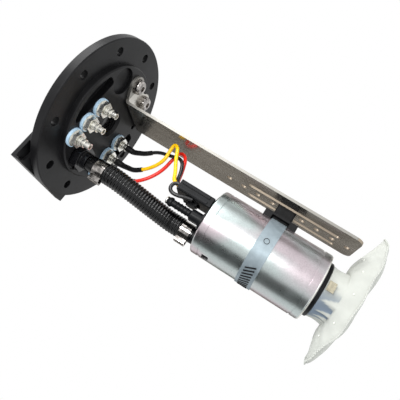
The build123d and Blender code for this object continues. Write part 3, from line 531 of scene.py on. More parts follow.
def make_sleeves(scene):
    """Shrink tube over each pin's cup, drawn down onto its wire."""
    data = bpy.data.curves.new("sleeves", "CURVE")
    data.dimensions = "3D"
    data.bevel_depth = 1.0
    data.bevel_resolution = 8
    data.use_fill_caps = True
    over, under = Vector((0, 0, 1)), Vector((0, 0, -3))
    for name in WIRE_LENGTHS:
        cup, turn, out, far = (Vector(p) for p in WIRE_ROUTES[name][:4])
        stations = (cup + over, cup, cup + under, turn, turn.lerp(out, 0.5), out, out.lerp(far, 0.5))
        spline = smooth_line(data, stations, 12)
        for target, radius in zip(spline.points, SLEEVE_RADII):
            target.radius = radius * MM
    piece = new_object("shrink_sleeves", data)
    data.materials.append(soft_rubber(scene.pump_moulded.rubber))
    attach(piece, "module")
    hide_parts("heat_shrink_sleeves")


# Hose

OUTLET_X, OUTLET_Y = -3, 33.4
NIPPLE_X, NIPPLE_Y = 14, 34.4
HOSE_ROUTE = [(OUTLET_X, OUTLET_Y, -14), (OUTLET_X, OUTLET_Y, -27.8), (OUTLET_X, OUTLET_Y, -39),
              (NIPPLE_X, NIPPLE_Y, -77), (NIPPLE_X, NIPPLE_Y, -87.2), (NIPPLE_X, NIPPLE_Y, -99.6)]
# Stations to a corrugation, the power under 1 that makes its crest broad, and half the run to a plain end.
HOSE_STATIONS, CREST_POWER, HOSE_EASE = 14, 0.45, 0.5


def make_hose(scene):
    """Corrugated tube along its route, with a plain end under each clamp."""
    s = scene.pump_hose
    sizes = {"Crest radius": s.crest, "Valley radius": s.valley, "Cuff radius": s.cuff, "Pitch": s.pitch,
             "Upper plain end": s.plain, "Lower plain end": s.plain_low}
    tree, entry, leave = rule("Corrugated tube", sizes)
    fine = add(tree, "GeometryNodeResampleCurve", {"Curve": entry.outputs[0]}, mode="LENGTH")
    step = add(tree, "ShaderNodeMath", {0: entry.outputs["Pitch"], 1: HOSE_STATIONS}, operation="DIVIDE")
    tree.links.new(step.outputs[0], fine.inputs["Length"])
    along = add(tree, "GeometryNodeSplineParameter").outputs["Length"]
    full = add(tree, "GeometryNodeCurveLength", {"Curve": entry.outputs[0]}).outputs[0]
    turn = add(tree, "ShaderNodeMath", {0: along, 1: entry.outputs["Pitch"]}, operation="DIVIDE")
    angle = add(tree, "ShaderNodeMath", {0: turn, 1: math.tau}, operation="MULTIPLY")
    wave = add(tree, "ShaderNodeMath", {0: angle}, operation="COSINE")
    lifted = add(tree, "ShaderNodeMapRange", {"Value": wave, "From Min": -1, "From Max": 1})
    crest = add(tree, "ShaderNodeMath", {0: lifted, 1: CREST_POWER}, operation="POWER")
    body = add(tree, "ShaderNodeMapRange", {"Value": crest, "To Min": entry.outputs["Valley radius"],
                                            "To Max": entry.outputs["Crest radius"]})
    rest = add(tree, "ShaderNodeMath", {0: full, 1: along}, operation="SUBTRACT")
    past = add(tree, "ShaderNodeMath", {0: along, 1: entry.outputs["Upper plain end"]}, operation="SUBTRACT")
    short = add(tree, "ShaderNodeMath", {0: rest, 1: entry.outputs["Lower plain end"]}, operation="SUBTRACT")
    inside = add(tree, "ShaderNodeMath", {0: past, 1: short}, operation="MINIMUM")
    blend = add(tree, "ShaderNodeMapRange", {"Value": inside, "From Min": -HOSE_EASE * MM,
                                             "From Max": HOSE_EASE * MM})
    tall = add(tree, "ShaderNodeMix", {0: blend, 2: entry.outputs["Cuff radius"], 3: body},
               data_type="FLOAT")
    scaled = add(tree, "GeometryNodeSetCurveRadius", {"Curve": fine, "Radius": tall.outputs[0]})
    ring = add(tree, "GeometryNodeCurvePrimitiveCircle", {"Resolution": 48, "Radius": 1.0})
    radius = add(tree, "GeometryNodeInputNamedAttribute", {"Name": "radius"}, data_type="FLOAT")
    skin = add(tree, "GeometryNodeCurveToMesh", {"Curve": scaled, "Profile Curve": ring,
                                                 "Fill Caps": True, "Scale": radius.outputs[0]})
    close_rule(tree, leave, skin, hose_nylon(scene.pump_moulded.hose))
    piece = grow(spline_object("hose_line", HOSE_ROUTE), tree, sizes, "corrugated_tube")
    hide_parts("corrugated_hose")


# Threads

WASHER_Z, STUD_THREAD_Z = -5.95, 12.4
BARB_X, BARB_Y = 4.0, 24.7
# Radius at the foot of each ridge, and the ridge's own radius.
PORT_RIDGE, STUD_RIDGE, OUTLET_RIDGE = (8.95, 0.32), (2.4, 0.16), (4.9, 0.25)
BARB_RIDGE, BARB_RING, CAN_RIM = (2.6, 0.45), (2.35, 0.5), (24.1, 0.75)
OUTLET_PITCH = 1.0
FLAT_WASHER_R, FLAT_WASHER_THICK = 6.05, 0.5
# Height of the lowest ridge of each.
PORT_Z, OUTLET_THREAD_Z, BARB_RIDGE_Z, BARB_TIP_Z, CAN_RIM_Z = -2.0, 14.4, -88.6, -72.3, -189.2


def ridges(points, size_mm, pitch, turns, material, name):
    """Rounded ridges one pitch apart, upwards from each point."""
    radius, depth = size_mm
    sizes = {"Radius": radius * MM, "Depth": depth * MM, "Pitch": pitch, "Turns": turns}
    tree, entry, leave = rule(name, sizes)
    step = add(tree, "ShaderNodeCombineXYZ", {"Z": entry.outputs["Pitch"]})
    line = add(tree, "GeometryNodeMeshLine", {"Count": entry.outputs["Turns"], "Offset": step})
    stack = add(tree, "GeometryNodeInstanceOnPoints", {"Points": entry.outputs[0], "Instance": line})
    heights = add(tree, "GeometryNodeRealizeInstances", {"Geometry": stack})
    ridge = hoop(tree, entry.outputs["Radius"], entry.outputs["Depth"], 40)
    rings = add(tree, "GeometryNodeInstanceOnPoints", {"Points": heights, "Instance": ridge})
    close_rule(tree, leave, rings, material)
    grow(points_object(points), tree, sizes, name)


def flat_washers(points, material, name):
    """Thin steel washer between each nut and its pale one."""
    sizes = {"Radius": FLAT_WASHER_R * MM, "Thickness": FLAT_WASHER_THICK * MM}
    tree, entry, leave = rule(name, sizes)
    disc = add(tree, "GeometryNodeMeshCylinder", {"Vertices": 40, "Radius": entry.outputs["Radius"],
                                                  "Depth": entry.outputs["Thickness"]})
    discs = add(tree, "GeometryNodeInstanceOnPoints", {"Points": entry.outputs[0], "Instance": disc})
    close_rule(tree, leave, discs, material, smooth=False)
    grow(points_object(points), tree, sizes, name)


def make_threads(scene):
    """Threads of the port, studs and outlet, the barb's ridges and ring, and the can's rolled rim."""
    s = scene.pump_threads
    black = anodised_aluminium(scene.pump_metal.anodised)
    zinc = zinc_plate(scene.pump_metal.zinc)
    nylon = moulded_nylon(scene.pump_moulded.plastic)
    ridges([(0, 0, PORT_Z)], PORT_RIDGE, s.port_pitch, 3, black, "port_thread")
    under = [(x, y, WASHER_Z) for x, y in STUDS]
    flat_washers(under, zinc, "stud_flat_washers")
    tops = [(x, y, STUD_THREAD_Z) for x, y in STUDS]
    ridges(tops, STUD_RIDGE, s.stud_pitch, 6, zinc, "stud_thread")
    ridges([(OUTLET_X, OUTLET_Y, OUTLET_THREAD_Z)], OUTLET_RIDGE, OUTLET_PITCH * MM, 5, black,
           "outlet_thread_ridges")
    ridges([(BARB_X, BARB_Y, BARB_RIDGE_Z)], BARB_RIDGE, s.barb_pitch, 4, nylon, "barb_ridges")
    # A single ridge is a ring, and its pitch has no effect.
    ridges([(PUMP_X, PUMP_Y, CAN_RIM_Z)], CAN_RIM, 1.0 * MM, 1, zinc, "can_rolled_rim")
    ridges([(BARB_X, BARB_Y, BARB_TIP_Z)], BARB_RING, 1.0 * MM, 1, zinc, "barb_tip_ring")


# Latch

PAD_SIZE, PAD_AT = (6.0, 1.9, 5.8), (7.0, 18.9, -87.7)


def make_latch_pad(scene):
    """Raised pad that a thumb presses on the plug's latch, clear of the relief barb at its full lift."""
    across, height, along = (v * MM for v in PAD_SIZE)
    sizes = {"Across": across, "Height": height, "Along": along}
    tree, entry, leave = rule("Latch pad", sizes)
    size = add(tree, "ShaderNodeCombineXYZ", {"X": entry.outputs["Across"], "Y": entry.outputs["Height"],
                                              "Z": entry.outputs["Along"]})
    block = add(tree, "GeometryNodeMeshCube", {"Size": size})
    pads = add(tree, "GeometryNodeInstanceOnPoints", {"Points": entry.outputs[0], "Instance": block})
    close_rule(tree, leave, pads, moulded_nylon(scene.pump_moulded.plastic), smooth=False)
    grow(points_object([PAD_AT]), tree, sizes, "latch_pad", "latch")


# Band

# In degrees, the slits start at this angle from X and follow at this step, leaning as the worm's thread does.
BAND_R, BAND_Z = 25.75, -146.5
SLIT_FIRST, SLIT_STEP, SLIT_LEAN, SLITS = 38, 6, 25, 18
SLIT_DEPTH = 0.5
STAMP_ANGLE, STAMP_R, STAMP_LINE, STAMP_LIFT = 186, 1.9, 0.16, 0.2


def make_band_marks(scene):
    """Painted shade in the slits that the worm bites in, and a dark ring of painted shade for the round stamp
    beside the saddle.
    """
    s = scene.pump_threads
    # The rubber's black serves as painted shade in the slits and in the stamp's groove.
    dark = soft_rubber(scene.pump_moulded.rubber)
    middle = (PUMP_X * MM, PUMP_Y * MM, BAND_Z * MM)
    sizes = {"Count": SLITS, "First angle": math.radians(SLIT_FIRST), "Step": math.radians(SLIT_STEP),
             "Slit width": s.slit_width, "Slit length": s.slit_length, "Radius": BAND_R * MM}
    tree, entry, leave = rule("Band slits", sizes)
    line = add(tree, "GeometryNodeMeshLine", {"Count": entry.outputs["Count"], "Offset": (0, 0, 0)})
    index = add(tree, "GeometryNodeInputIndex")
    turn = add(tree, "ShaderNodeMath", {0: index, 1: entry.outputs["Step"],
                                        2: entry.outputs["First angle"]}, operation="MULTIPLY_ADD")
    spin = add(tree, "ShaderNodeCombineXYZ", {"Z": turn})
    size = add(tree, "ShaderNodeCombineXYZ", {"X": SLIT_DEPTH * MM, "Y": entry.outputs["Slit width"],
                                              "Z": entry.outputs["Slit length"]})
    bar = add(tree, "GeometryNodeMeshCube", {"Size": size})
    out = add(tree, "ShaderNodeCombineXYZ", {"X": entry.outputs["Radius"]})
    leaned = add(tree, "GeometryNodeTransform", {"Geometry": bar, "Translation": out,
                                                 "Rotation": (math.radians(SLIT_LEAN), 0, 0)})
    marks = add(tree, "GeometryNodeInstanceOnPoints", {"Points": line, "Instance": leaned, "Rotation": spin})
    placed = add(tree, "GeometryNodeTransform", {"Geometry": marks, "Translation": middle})
    close_rule(tree, leave, placed, dark, smooth=False)
    grow(points_object([(0, 0, 0)]), tree, sizes, "band_slits")

    # The stamp's groove is a dark ring of painted shade.
    sizes = {"Stamp": STAMP_R * MM, "Line": STAMP_LINE * MM, "Angle": math.radians(STAMP_ANGLE),
             "Radius": (BAND_R + STAMP_LIFT) * MM}
    tree, entry, leave = rule("Band stamp", sizes)
    ring = hoop(tree, entry.outputs["Stamp"], entry.outputs["Line"], 32)
    out = add(tree, "ShaderNodeCombineXYZ", {"X": entry.outputs["Radius"]})
    upright = add(tree, "GeometryNodeTransform", {"Geometry": ring, "Translation": out,
                                                  "Rotation": (0, math.radians(90), 0)})
    spin = add(tree, "ShaderNodeCombineXYZ", {"Z": entry.outputs["Angle"]})
    placed = add(tree, "GeometryNodeTransform", {"Geometry": upright, "Rotation": spin,
                                                 "Translation": middle})
    close_rule(tree, leave, placed, dark)
    grow(points_object([(0, 0, 0)]), tree, sizes, "band_stamp")


# Strainer

SOCK_CENTRE = Vector((16.5, 13.9, -211.8))
SOCK_TILT = math.radians(5.7)
NECK_TOP = -193.5
PLEAT_AT, PLEAT_SPAN, PLEATS = math.radians(138), math.radians(38), 10
# Points round the bag, and its rows from the neck to the seam and from the seam to the underside.
ROUND, UPPER_ROWS, LOWER_ROWS = 216, 30, 20
SEAM_POINTS, WELD_SPOTS = 120, 12
# The share of an upper line that lies on the neck, and in millimetres how far the neck draws in,
# how deep its gathers and pleats are, and how far its foot drops and reaches before the bag.
NECK_SHARE = 0.4
WAIST, GATHER_DEPTH, PLEAT_DEPTH = 0.8, 0.45, 2.4
FOOT_DROP, FOOT_REACH = 2.2, 0.6
# How far the upper cloth swells, as a share of its reach, and its ripples in millimetres.
SWELL, UPPER_RIPPLE, LOWER_RIPPLE = 0.11, 0.5, 0.3
# Waves in the cloth: size, number to a turn, and shift with the seed. The first two are in millimetres.
SEAM_RISE = ((0.8, 5, 1), (0.5, 11, 2))
SEAM_NOTCH = ((0.35, 9, -1), (0.2, 23, 0))
GATHERS = ((1.0, 13, 1), (0.7, 29, 2), (0.5, 7, -1))
# The fold's shadow along an upper line: where it ends, how far its points reach, and how soft they are.
SHADE_END, SHADE_POINT, SHADE_EDGE = 0.1, 0.42, 0.07
# The cloth's wall; the seam's width and thickness, teeth and spots; and how far out seam and teeth lie.
CLOTH, SEAM_WIDTH, SEAM_THICK, TOOTH, SPOT = 0.5, 1.2, 0.3, 0.4, 0.8
SEAM_OUT, TEETH_OUT, SPOT_SHARE = 0.4, 0.6, 0.8


def sock_point(along, across, height):
    """Point of the bag from its own length, width and height, in millimetres."""
    c, s = math.cos(SOCK_TILT), math.sin(SOCK_TILT)
    return SOCK_CENTRE + Vector((across, along * c - height * s, along * s + height * c))


def waves(angle, seed, terms):
    """Sum of the waves at this angle."""
    return sum(size * math.sin(turns * angle + shift * seed) for size, turns, shift in terms)


def seam_point(angle, s, out=0.0):
    """The welded edge lies low along the sides and lifts to the tips, and waves up, down, in and out."""
    wave, notch = waves(angle, s.seed, SEAM_RISE), waves(angle, s.seed, SEAM_NOTCH)
    long, wide = s.length / MM + out + notch, s.width / MM + out + notch
    low = s.drop / MM * math.cos(angle) ** 2
    return sock_point(long * math.sin(angle), wide * math.cos(angle), wave - low)


def gather(angle, seed):
    """Height of the cloth's folds round the neck, from -1 to 1."""
    return waves(angle, seed, GATHERS) / sum(size for size, turns, shift in GATHERS)


def pleat_fade(angle):
    """1 in the pleated part of the neck, under the pump's outlet side, and 0 away from it."""
    away = abs((angle - PLEAT_AT + math.pi) % math.tau - math.pi) / PLEAT_SPAN
    return max(0.0, 1 - away ** 4)


def pleat(angle):
    """Sharp pleats, 0 on a crest to 1 in the fold."""
    return pleat_fade(angle) * abs(math.sin(angle * PLEATS))


def upper_point(angle, t, s):
    """From the neck's top (t = 0) down the neck and out over the bag to the seam (t = 1)."""
    seam = seam_point(angle, s)
    outward = Vector((seam.x - PUMP_X, seam.y - PUMP_Y, 0)).normalized()
    fold, tuck = gather(angle, s.seed), pleat(angle)
    neck, tall = s.neck / MM, s.tall / MM
    if t < NECK_SHARE:
        u = t / NECK_SHARE
        r = (neck - WAIST * math.sin(math.pi * u) + GATHER_DEPTH * fold * u ** 1.5
             - PLEAT_DEPTH * tuck * math.sin(math.pi * u * 0.5))
        return Vector((PUMP_X, PUMP_Y, NECK_TOP - tall * u)) + outward * r
    u = (t - NECK_SHARE) / (1 - NECK_SHARE)
    v = 1 - u
    foot = Vector((PUMP_X, PUMP_Y, NECK_TOP - tall))
    start = foot + outward * (neck + GATHER_DEPTH * fold - PLEAT_DEPTH * tuck)
    corner = foot - Vector((0, 0, FOOT_DROP)) + outward * (neck + FOOT_REACH)
    p = start * v * v + corner * 2 * u * v + seam * u * u
    p.z += SWELL * (seam - start).length * math.sin(math.pi * u) ** 1.3
    p.z += UPPER_RIPPLE * gather(angle * 0.6, s.seed + 2) * math.sin(math.pi * u)
    return p


def fold_shade(angle, t):
    """How far the cloth lies in the shadow under the cap, which the crests reach into as points."""
    end = SHADE_END + SHADE_POINT * abs(math.sin(angle * PLEATS)) ** 1.3
    return pleat_fade(angle) * min(1.0, max(0.0, (end - t) / SHADE_EDGE))


def lower_point(angle, t, s):
    """From the seam (t = 0) in to the middle of the underside (t = 1)."""
    r = math.cos(t * math.pi / 2) ** 0.8
    low = s.drop / MM * math.cos(angle) ** 2
    depth = (s.depth / MM - low) * (1 - r ** 2.6) ** 0.55
    ripple = LOWER_RIPPLE * math.sin(7 * angle + s.seed) * math.sin(math.pi * t)
    middle = sock_point(0, 0, -low)
    sunk = sock_point(0, 0, ripple - depth) - sock_point(0, 0, 0)
    return middle + (seam_point(angle, s) - middle) * r + sunk


def sock_mesh(s):
    """The bag in rings, from the neck's top out to the seam and in again to the underside's middle."""
    angles = [math.tau * i / ROUND for i in range(ROUND)]
    rows = [[upper_point(a, t / UPPER_ROWS, s) for a in angles] for t in range(UPPER_ROWS + 1)]
    rows += [[lower_point(a, t / LOWER_ROWS, s) for a in angles] for t in range(1, LOWER_ROWS)]
    points = [p * MM for row in rows for p in row]
    points.append(sock_point(0, 0, -s.depth / MM) * MM)
    faces = []
    for r in range(len(rows) - 1):
        for i in range(ROUND):
            j = (i + 1) % ROUND
            faces.append((r * ROUND + i, (r + 1) * ROUND + i, (r + 1) * ROUND + j, r * ROUND + j))
    last = (len(rows) - 1) * ROUND
    for i in range(ROUND):
        faces.append((last + i, len(points) - 1, last + (i + 1) % ROUND))
    mesh = bpy.data.meshes.new("strainer_bag")
    mesh.from_pydata(points, [], faces)
    mesh.shade_smooth()
    # Painted shadow under the pump's cap, kept in the fold attribute.
    fold = mesh.attributes.new("fold", "FLOAT", "POINT")
    for n in range((UPPER_ROWS + 1) * ROUND):
        fold.data[n].value = fold_shade(angles[n % ROUND], n // ROUND / UPPER_ROWS)
    return mesh


def seam_loop(s, out):
    """Closed line along the welded edge, this many millimetres outside it."""
    mesh = bpy.data.meshes.new("seam")
    mesh.from_pydata([seam_point(math.tau * i / SEAM_POINTS, s, out) * MM for i in range(SEAM_POINTS)],
                     [(i, (i + 1) % SEAM_POINTS) for i in range(SEAM_POINTS)], [])
    return new_object("seam", mesh)


def make_strainer(scene):
    """The gathered bag, its welded seam with teeth, and the weld spots on its top."""
    s = scene.pump_sock
    cloth = strainer_mesh(scene.pump_moulded.mesh, scene.pump_moulded.fold)
    bag = new_object("strainer_bag", sock_mesh(s))
    bag.data.materials.append(cloth)
    wall = bag.modifiers.new("Wall", "SOLIDIFY")
    wall.thickness = CLOTH * MM
    wall.offset = -1
    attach(bag, "module")
    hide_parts("filter_sock")

    sizes = {"Width": SEAM_WIDTH * MM, "Thickness": SEAM_THICK * MM}
    tree, entry, leave = rule("Welded seam", sizes)
    path = add(tree, "GeometryNodeMeshToCurve", {"Mesh": entry.outputs[0]})
    flat = add(tree, "GeometryNodeCurvePrimitiveQuadrilateral", {
        "Width": entry.outputs["Thickness"], "Height": entry.outputs["Width"]})
    strip = add(tree, "GeometryNodeCurveToMesh", {"Curve": path, "Profile Curve": flat})
    close_rule(tree, leave, strip, cloth)
    grow(seam_loop(s, SEAM_OUT), tree, sizes, "strainer_seam")

    sizes = {"Pitch": s.weld_pitch, "Tooth": TOOTH * MM}
    tree, entry, leave = rule("Weld teeth", sizes)
    path = add(tree, "GeometryNodeMeshToCurve", {"Mesh": entry.outputs[0]})
    spots = add(tree, "GeometryNodeCurveToPoints", {"Curve": path, "Length": entry.outputs["Pitch"]},
                mode="LENGTH")
    tooth = add(tree, "GeometryNodeMeshIcoSphere", {"Radius": entry.outputs["Tooth"], "Subdivisions": 2})
    longer = add(tree, "GeometryNodeTransform", {"Geometry": tooth, "Scale": (2.2, 2.2, 1)})
    teeth = add(tree, "GeometryNodeInstanceOnPoints", {"Points": spots, "Instance": longer})
    close_rule(tree, leave, teeth, cloth)
    grow(seam_loop(s, TEETH_OUT), tree, sizes, "strainer_teeth")

    sizes = {"Spot": SPOT * MM}
    tree, entry, leave = rule("Weld spots", sizes)
    spot = add(tree, "GeometryNodeMeshIcoSphere", {"Radius": entry.outputs["Spot"], "Subdivisions": 3})
    flat = add(tree, "GeometryNodeTransform", {"Geometry": spot, "Scale": (1, 1, 0.6)})
    spots = add(tree, "GeometryNodeInstanceOnPoints", {"Points": entry.outputs[0], "Instance": flat})
    close_rule(tree, leave, spots, weld_spot_nylon(scene.pump_moulded.mesh))
    places = [upper_point(math.tau * i / WELD_SPOTS, SPOT_SHARE, s) for i in range(WELD_SPOTS)]
    grow(points_object(places), tree, sizes, "strainer_spots")


# Finishes on the CAD pieces

def finish_metal(scene):
    """Flange, hardware, can, bracket, clamps, band and fittings."""
    c = scene.pump_metal
    dress(anodised_aluminium(c.anodised), "flange_plate", "outer_plate")
    dress(zinc_plate(c.zinc), "stud_nuts_inner", "stud_nuts_outer", "stud_pins_spare",
          "stud_pins_wired", "outlet_nut", "outlet_washer", "outer_plate_screws", "saddle_screw",
          "push_nut", "outlet_retainer")
    dress(drawn_can_zinc(c.can_pink, c.can_green), "pump_can")
    dress(polished_stainless(c.stainless, c.punched), "bracket")
    dress(clip_steel(c.clip), "bracket_screws", "lock_washers", "hose_clamp_upper",
          "hose_clamp_lower", "relief_spring", "outlet_spring", "rotor_shaft", "brush_springs")
    dress(band_zinc(c.band), "band_strap", "band_worm_housing", "band_worm_screw")
    dress(gloss_anodised(c.fitting), "outlet_fitting", "port_plug")


# Joint, place of the end that rests, and travel of the poppet, in millimetres.
SPRINGS = {"outlet_spring": ("outlet_check_lift", (NIPPLE_X, NIPPLE_Y, -86.05), 2.5),
           "relief_spring": ("relief_check_lift", (BARB_X, BARB_Y, -92.75), 1.5)}


def make_springs():
    """Gives each valve spring a mesh of its own."""
    for name, (joint, end, travel) in SPRINGS.items():
        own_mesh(CAD[name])


def finish_moulded(scene):
    """Plastic, rubber and nylon pieces."""
    c = scene.pump_moulded
    dress(moulded_nylon(c.plastic), "pump_top_cap", "connector_plug", "connector_latch",
          "relief_barb", "relief_poppet", "brush_holder", "filter_neck", "impeller")
    dress(soft_rubber(c.rubber), "saddle_block", "port_seal", "outlet_poppet")
    dress(natural_nylon(c.insulator), "stud_washers_inner", "stud_washers_outer",
          "stud_insulators", "filter_frame")
    dress(plain_grained("tan_nylon_tab", c.tab, 0.0, 0.5, 1.0, 0.02), "filter_tab")


def finish_inner():
    """Enamelled copper, varnished laminations, pressed carbon, sintered bronze, die-cast aluminium."""
    dress(plain_grained("enamelled_copper", srgb("#b5693c"), 1.0, 0.3, 0.6, 0.08), "armature_windings",
          "commutator", "connector_pins")
    dress(plain_grained("varnished_laminations", srgb("#4a4a4c"), 0.6, 0.45, 0.5, 0.05), "armature_core",
          "field_magnets")
    dress(plain_grained("pressed_carbon", srgb("#1b1b1b"), 0.0, 0.6, 0.4, 0.03), "carbon_brushes")
    dress(plain_grained("sintered_bronze", srgb("#a9834a"), 1.0, 0.4, 0.5, 0.03), "upper_bearing",
          "lower_bearing")
    dress(plain_grained("die_cast_aluminium", srgb("#a8a9aa"), 1.0, 0.42, 1.2, 0.04), "inlet_cover",
          "chamber_plate")


# Studio

# The camera's lens and place, in metres, fitted to the photograph.
LENS, SENSOR, SHIFT_X, SHIFT_Y = 37.9, 36, -0.1024, -0.0114
CAMERA_AT = (-0.273444, 0.091331, -0.159685)
CAMERA_TURN = (0.066514, 0.6876, -0.323963, -0.646398)
AIM = Vector((0.01, 0.01, -0.11))
FLOOR_RADIUS, FLOOR_Z = 0.5, -0.5
# Place and width of each lamp, and colour, place, width and height of each card.
LAMPS = {"key": ((-0.45, -0.35, 0.3), 0.5), "fill": ((-0.55, 0.07, 0.02), 0.2)}
CARDS = {"dark": ("#2a2a29", (-0.1, 0.56, -0.05), 0.5, 0.6),
         "mid": ("#655f57", (0.5, 0.16, -0.02), 0.24, 0.6),
         "grey": ("#6c6862", (-0.3, -0.65, -0.1), 0.3, 0.3)}


def make_stage(scene):
    """Camera, floor, background, lamps and reflection cards."""
    scene.view_settings.view_transform = "Standard"
    make_camera(scene)
    make_floor(scene.pump_studio)
    make_background(scene)
    make_lamps(scene.pump_studio)
    make_cards()


def make_camera(scene):
    """The photograph's own view."""
    camera = bpy.data.cameras.new("camera")
    camera.sensor_width = SENSOR
    camera.lens = LENS
    camera.shift_x = SHIFT_X
    camera.shift_y = SHIFT_Y
    camera.clip_start = 0.01
    holder = new_object("camera", camera)
    holder.rotation_mode = "QUATERNION"
    holder.location = CAMERA_AT
    holder.rotation_quaternion = Quaternion(CAMERA_TURN)
    scene.camera = holder


def make_floor(s):
    """Round sheet of pale paper well below the strainer."""
    bpy.ops.mesh.primitive_circle_add(vertices=96, radius=FLOOR_RADIUS, fill_type="NGON",
                                      location=(0, 0, FLOOR_Z))
    floor = bpy.context.object
    floor.name = "floor"
    material, tree, shader, place = surface("matt_paper", s.floor, 0.0, 0.85)
    relief(tree, shader, grain(tree, place, 2), 0.02)
    floor.data.materials.append(material)


def make_background(scene):
    """White where the camera or a reflection looks, and a cool soft light from all sides elsewhere."""
    world = bpy.data.worlds.new("studio")
    scene.world = world
    world.use_nodes = True
    tree = world.node_tree
    tree.nodes.clear()
    path = add(tree, "ShaderNodeLightPath")
    seen = add(tree, "ShaderNodeMath", {0: path.outputs["Is Camera Ray"],
                                        1: path.outputs["Is Glossy Ray"]}, operation="MAXIMUM")
    shown = add(tree, "ShaderNodeMath", {0: seen, 1: path.outputs["Is Transmission Ray"]},
                operation="MAXIMUM")
    room = add(tree, "ShaderNodeBackground", {"Color": (0.94, 0.96, 1.0, 1), "Strength": 0.95})
    white = add(tree, "ShaderNodeBackground", {"Color": (1, 1, 1, 1), "Strength": 1.0})
    mix = add(tree, "ShaderNodeMixShader", {0: shown, 1: room, 2: white})
    add(tree, "ShaderNodeOutputWorld", {"Surface": mix})


def make_lamps(s):
    """Two round soft lamps on the camera's side, turned to the module's middle."""
    for name, (at, width) in LAMPS.items():
        lamp = bpy.data.lights.new(name, "AREA")
        lamp.shape = "DISK"
        lamp.size = width
        lamp.energy = getattr(s, name)
        stand = new_object(name, lamp)
        stand.location = at
        stand.rotation_mode = "QUATERNION"
        stand.rotation_quaternion = (AIM - Vector(at)).to_track_quat("-Z", "Y")


def make_cards():
    """Dark cards out of sight give the metal something dark to reflect."""
    for tone, (code, at, wide, tall) in CARDS.items():
        bpy.ops.mesh.primitive_plane_add(size=1, location=at)
        card = bpy.context.object
        card.name = tone + "_card"
        card.scale = (wide, tall, 1)
        card.rotation_mode = "QUATERNION"
        card.rotation_quaternion = (AIM - Vector(at)).to_track_quat("Z", "Y")
        card.data.materials.append(surface(tone + "_card", srgb(code), 0.0, 0.9)[0])
        card.visible_camera = False
        card.visible_shadow = False
        card.visible_diffuse = False


# Operators and panel

class PUMP_OT_wires(bpy.types.Operator):
    """Lay the four leads from the studs to the plug"""
    bl_idname = "pump.wires"
    bl_label = "Wires"
    bl_options = {"REGISTER", "UNDO"}

    def execute(self, context):
        make_wires(context.scene)
        return {"FINISHED"}


class PUMP_OT_sleeves(bpy.types.Operator):
    """Lay the shrink tube over the pins and wires"""
    bl_idname = "pump.sleeves"
    bl_label = "Shrink sleeves"
    bl_options = {"REGISTER", "UNDO"}

    def execute(self, context):
        make_sleeves(context.scene)
        return {"FINISHED"}


class PUMP_OT_hose(bpy.types.Operator):
    """Grow the corrugated tube between its clamps"""
    bl_idname = "pump.hose"
    bl_label = "Corrugated hose"
    bl_options = {"REGISTER", "UNDO"}

    def execute(self, context):
        make_hose(context.scene)
        return {"FINISHED"}


class PUMP_OT_threads(bpy.types.Operator):
    """Grow the threads of the port, studs and outlet and the barb's ridges"""
    bl_idname = "pump.threads"
    bl_label = "Threads and ridges"
    bl_options = {"REGISTER", "UNDO"}

    def execute(self, context):
        make_threads(context.scene)
        return {"FINISHED"}


class PUMP_OT_latch_pad(bpy.types.Operator):
    """Put the thumb pad on the plug's latch"""
    bl_idname = "pump.latch_pad"
    bl_label = "Latch pad"
    bl_options = {"REGISTER", "UNDO"}

    def execute(self, context):
        make_latch_pad(context.scene)
        return {"FINISHED"}


class PUMP_OT_band_marks(bpy.types.Operator):
    """Fill the band's slits and its round stamp with painted shade"""
    bl_idname = "pump.band_marks"
    bl_label = "Band marks"
    bl_options = {"REGISTER", "UNDO"}

    def execute(self, context):
        make_band_marks(context.scene)
        return {"FINISHED"}


class PUMP_OT_strainer(bpy.types.Operator):
    """Make the bag, its seam and its welds"""
    bl_idname = "pump.strainer"
    bl_label = "Strainer"
    bl_options = {"REGISTER", "UNDO"}

    def execute(self, context):
        make_strainer(context.scene)
        return {"FINISHED"}


class PUMP_OT_metal(bpy.types.Operator):
    """Finish the flange, bracket, can, band and hardware"""
    bl_idname = "pump.metal"
    bl_label = "Metal finishes"
    bl_options = {"REGISTER", "UNDO"}

    def execute(self, context):
        finish_metal(context.scene)
        return {"FINISHED"}


class PUMP_OT_springs(bpy.types.Operator):
    """Give the valve springs meshes of their own"""
    bl_idname = "pump.springs"
    bl_label = "Valve springs"
    bl_options = {"REGISTER", "UNDO"}

    def execute(self, context):
        make_springs()
        return {"FINISHED"}


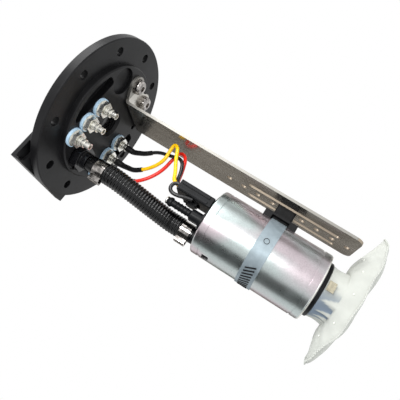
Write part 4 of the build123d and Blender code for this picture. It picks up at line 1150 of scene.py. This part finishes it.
class PUMP_OT_moulded(bpy.types.Operator):
    """Finish the plastic, rubber and nylon pieces"""
    bl_idname = "pump.moulded"
    bl_label = "Moulded finishes"
    bl_options = {"REGISTER", "UNDO"}

    def execute(self, context):
        finish_moulded(context.scene)
        return {"FINISHED"}


class PUMP_OT_inner(bpy.types.Operator):
    """Finish the pieces inside the can"""
    bl_idname = "pump.inner"
    bl_label = "Inner finishes"
    bl_options = {"REGISTER", "UNDO"}

    def execute(self, context):
        finish_inner()
        return {"FINISHED"}


class PUMP_OT_stage(bpy.types.Operator):
    """Set the camera, floor, lamps and background"""
    bl_idname = "pump.stage"
    bl_label = "Studio"
    bl_options = {"REGISTER", "UNDO"}

    def execute(self, context):
        make_stage(context.scene)
        return {"FINISHED"}


OPERATORS = [PUMP_OT_wires, PUMP_OT_sleeves, PUMP_OT_hose, PUMP_OT_threads, PUMP_OT_latch_pad,
             PUMP_OT_band_marks, PUMP_OT_strainer, PUMP_OT_metal, PUMP_OT_springs, PUMP_OT_moulded,
             PUMP_OT_inner, PUMP_OT_stage]


class PUMP_PT_panel(bpy.types.Panel):
    """Lists the module's pieces and the studio"""
    bl_idname = "PUMP_PT_panel"
    bl_label = "Fuel pump module"
    bl_space_type = "VIEW_3D"
    bl_region_type = "UI"
    bl_category = "Fuel pump"

    def draw(self, context):
        for kind in OPERATORS:
            self.layout.operator(kind.bl_idname)
        for name in GROUPS:
            group = getattr(context.scene, name)
            column = self.layout.column(align=True)
            for prop in group.__annotations__:
                column.prop(group, prop)


def register():
    for name, group in GROUPS.items():
        bpy.utils.register_class(group)
        setattr(bpy.types.Scene, name, PointerProperty(type=group))
    for kind in (*OPERATORS, PUMP_PT_panel):
        bpy.utils.register_class(kind)


def unregister():
    for kind in (PUMP_PT_panel, *reversed(OPERATORS)):
        bpy.utils.unregister_class(kind)
    for name, group in GROUPS.items():
        delattr(bpy.types.Scene, name)
        bpy.utils.unregister_class(group)


def main():
    """Registers the classes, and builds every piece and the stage."""
    register()
    for kind in OPERATORS:
        getattr(bpy.ops.pump, kind.bl_idname.split(".")[1])()


if __name__ == "__main__":
    main()
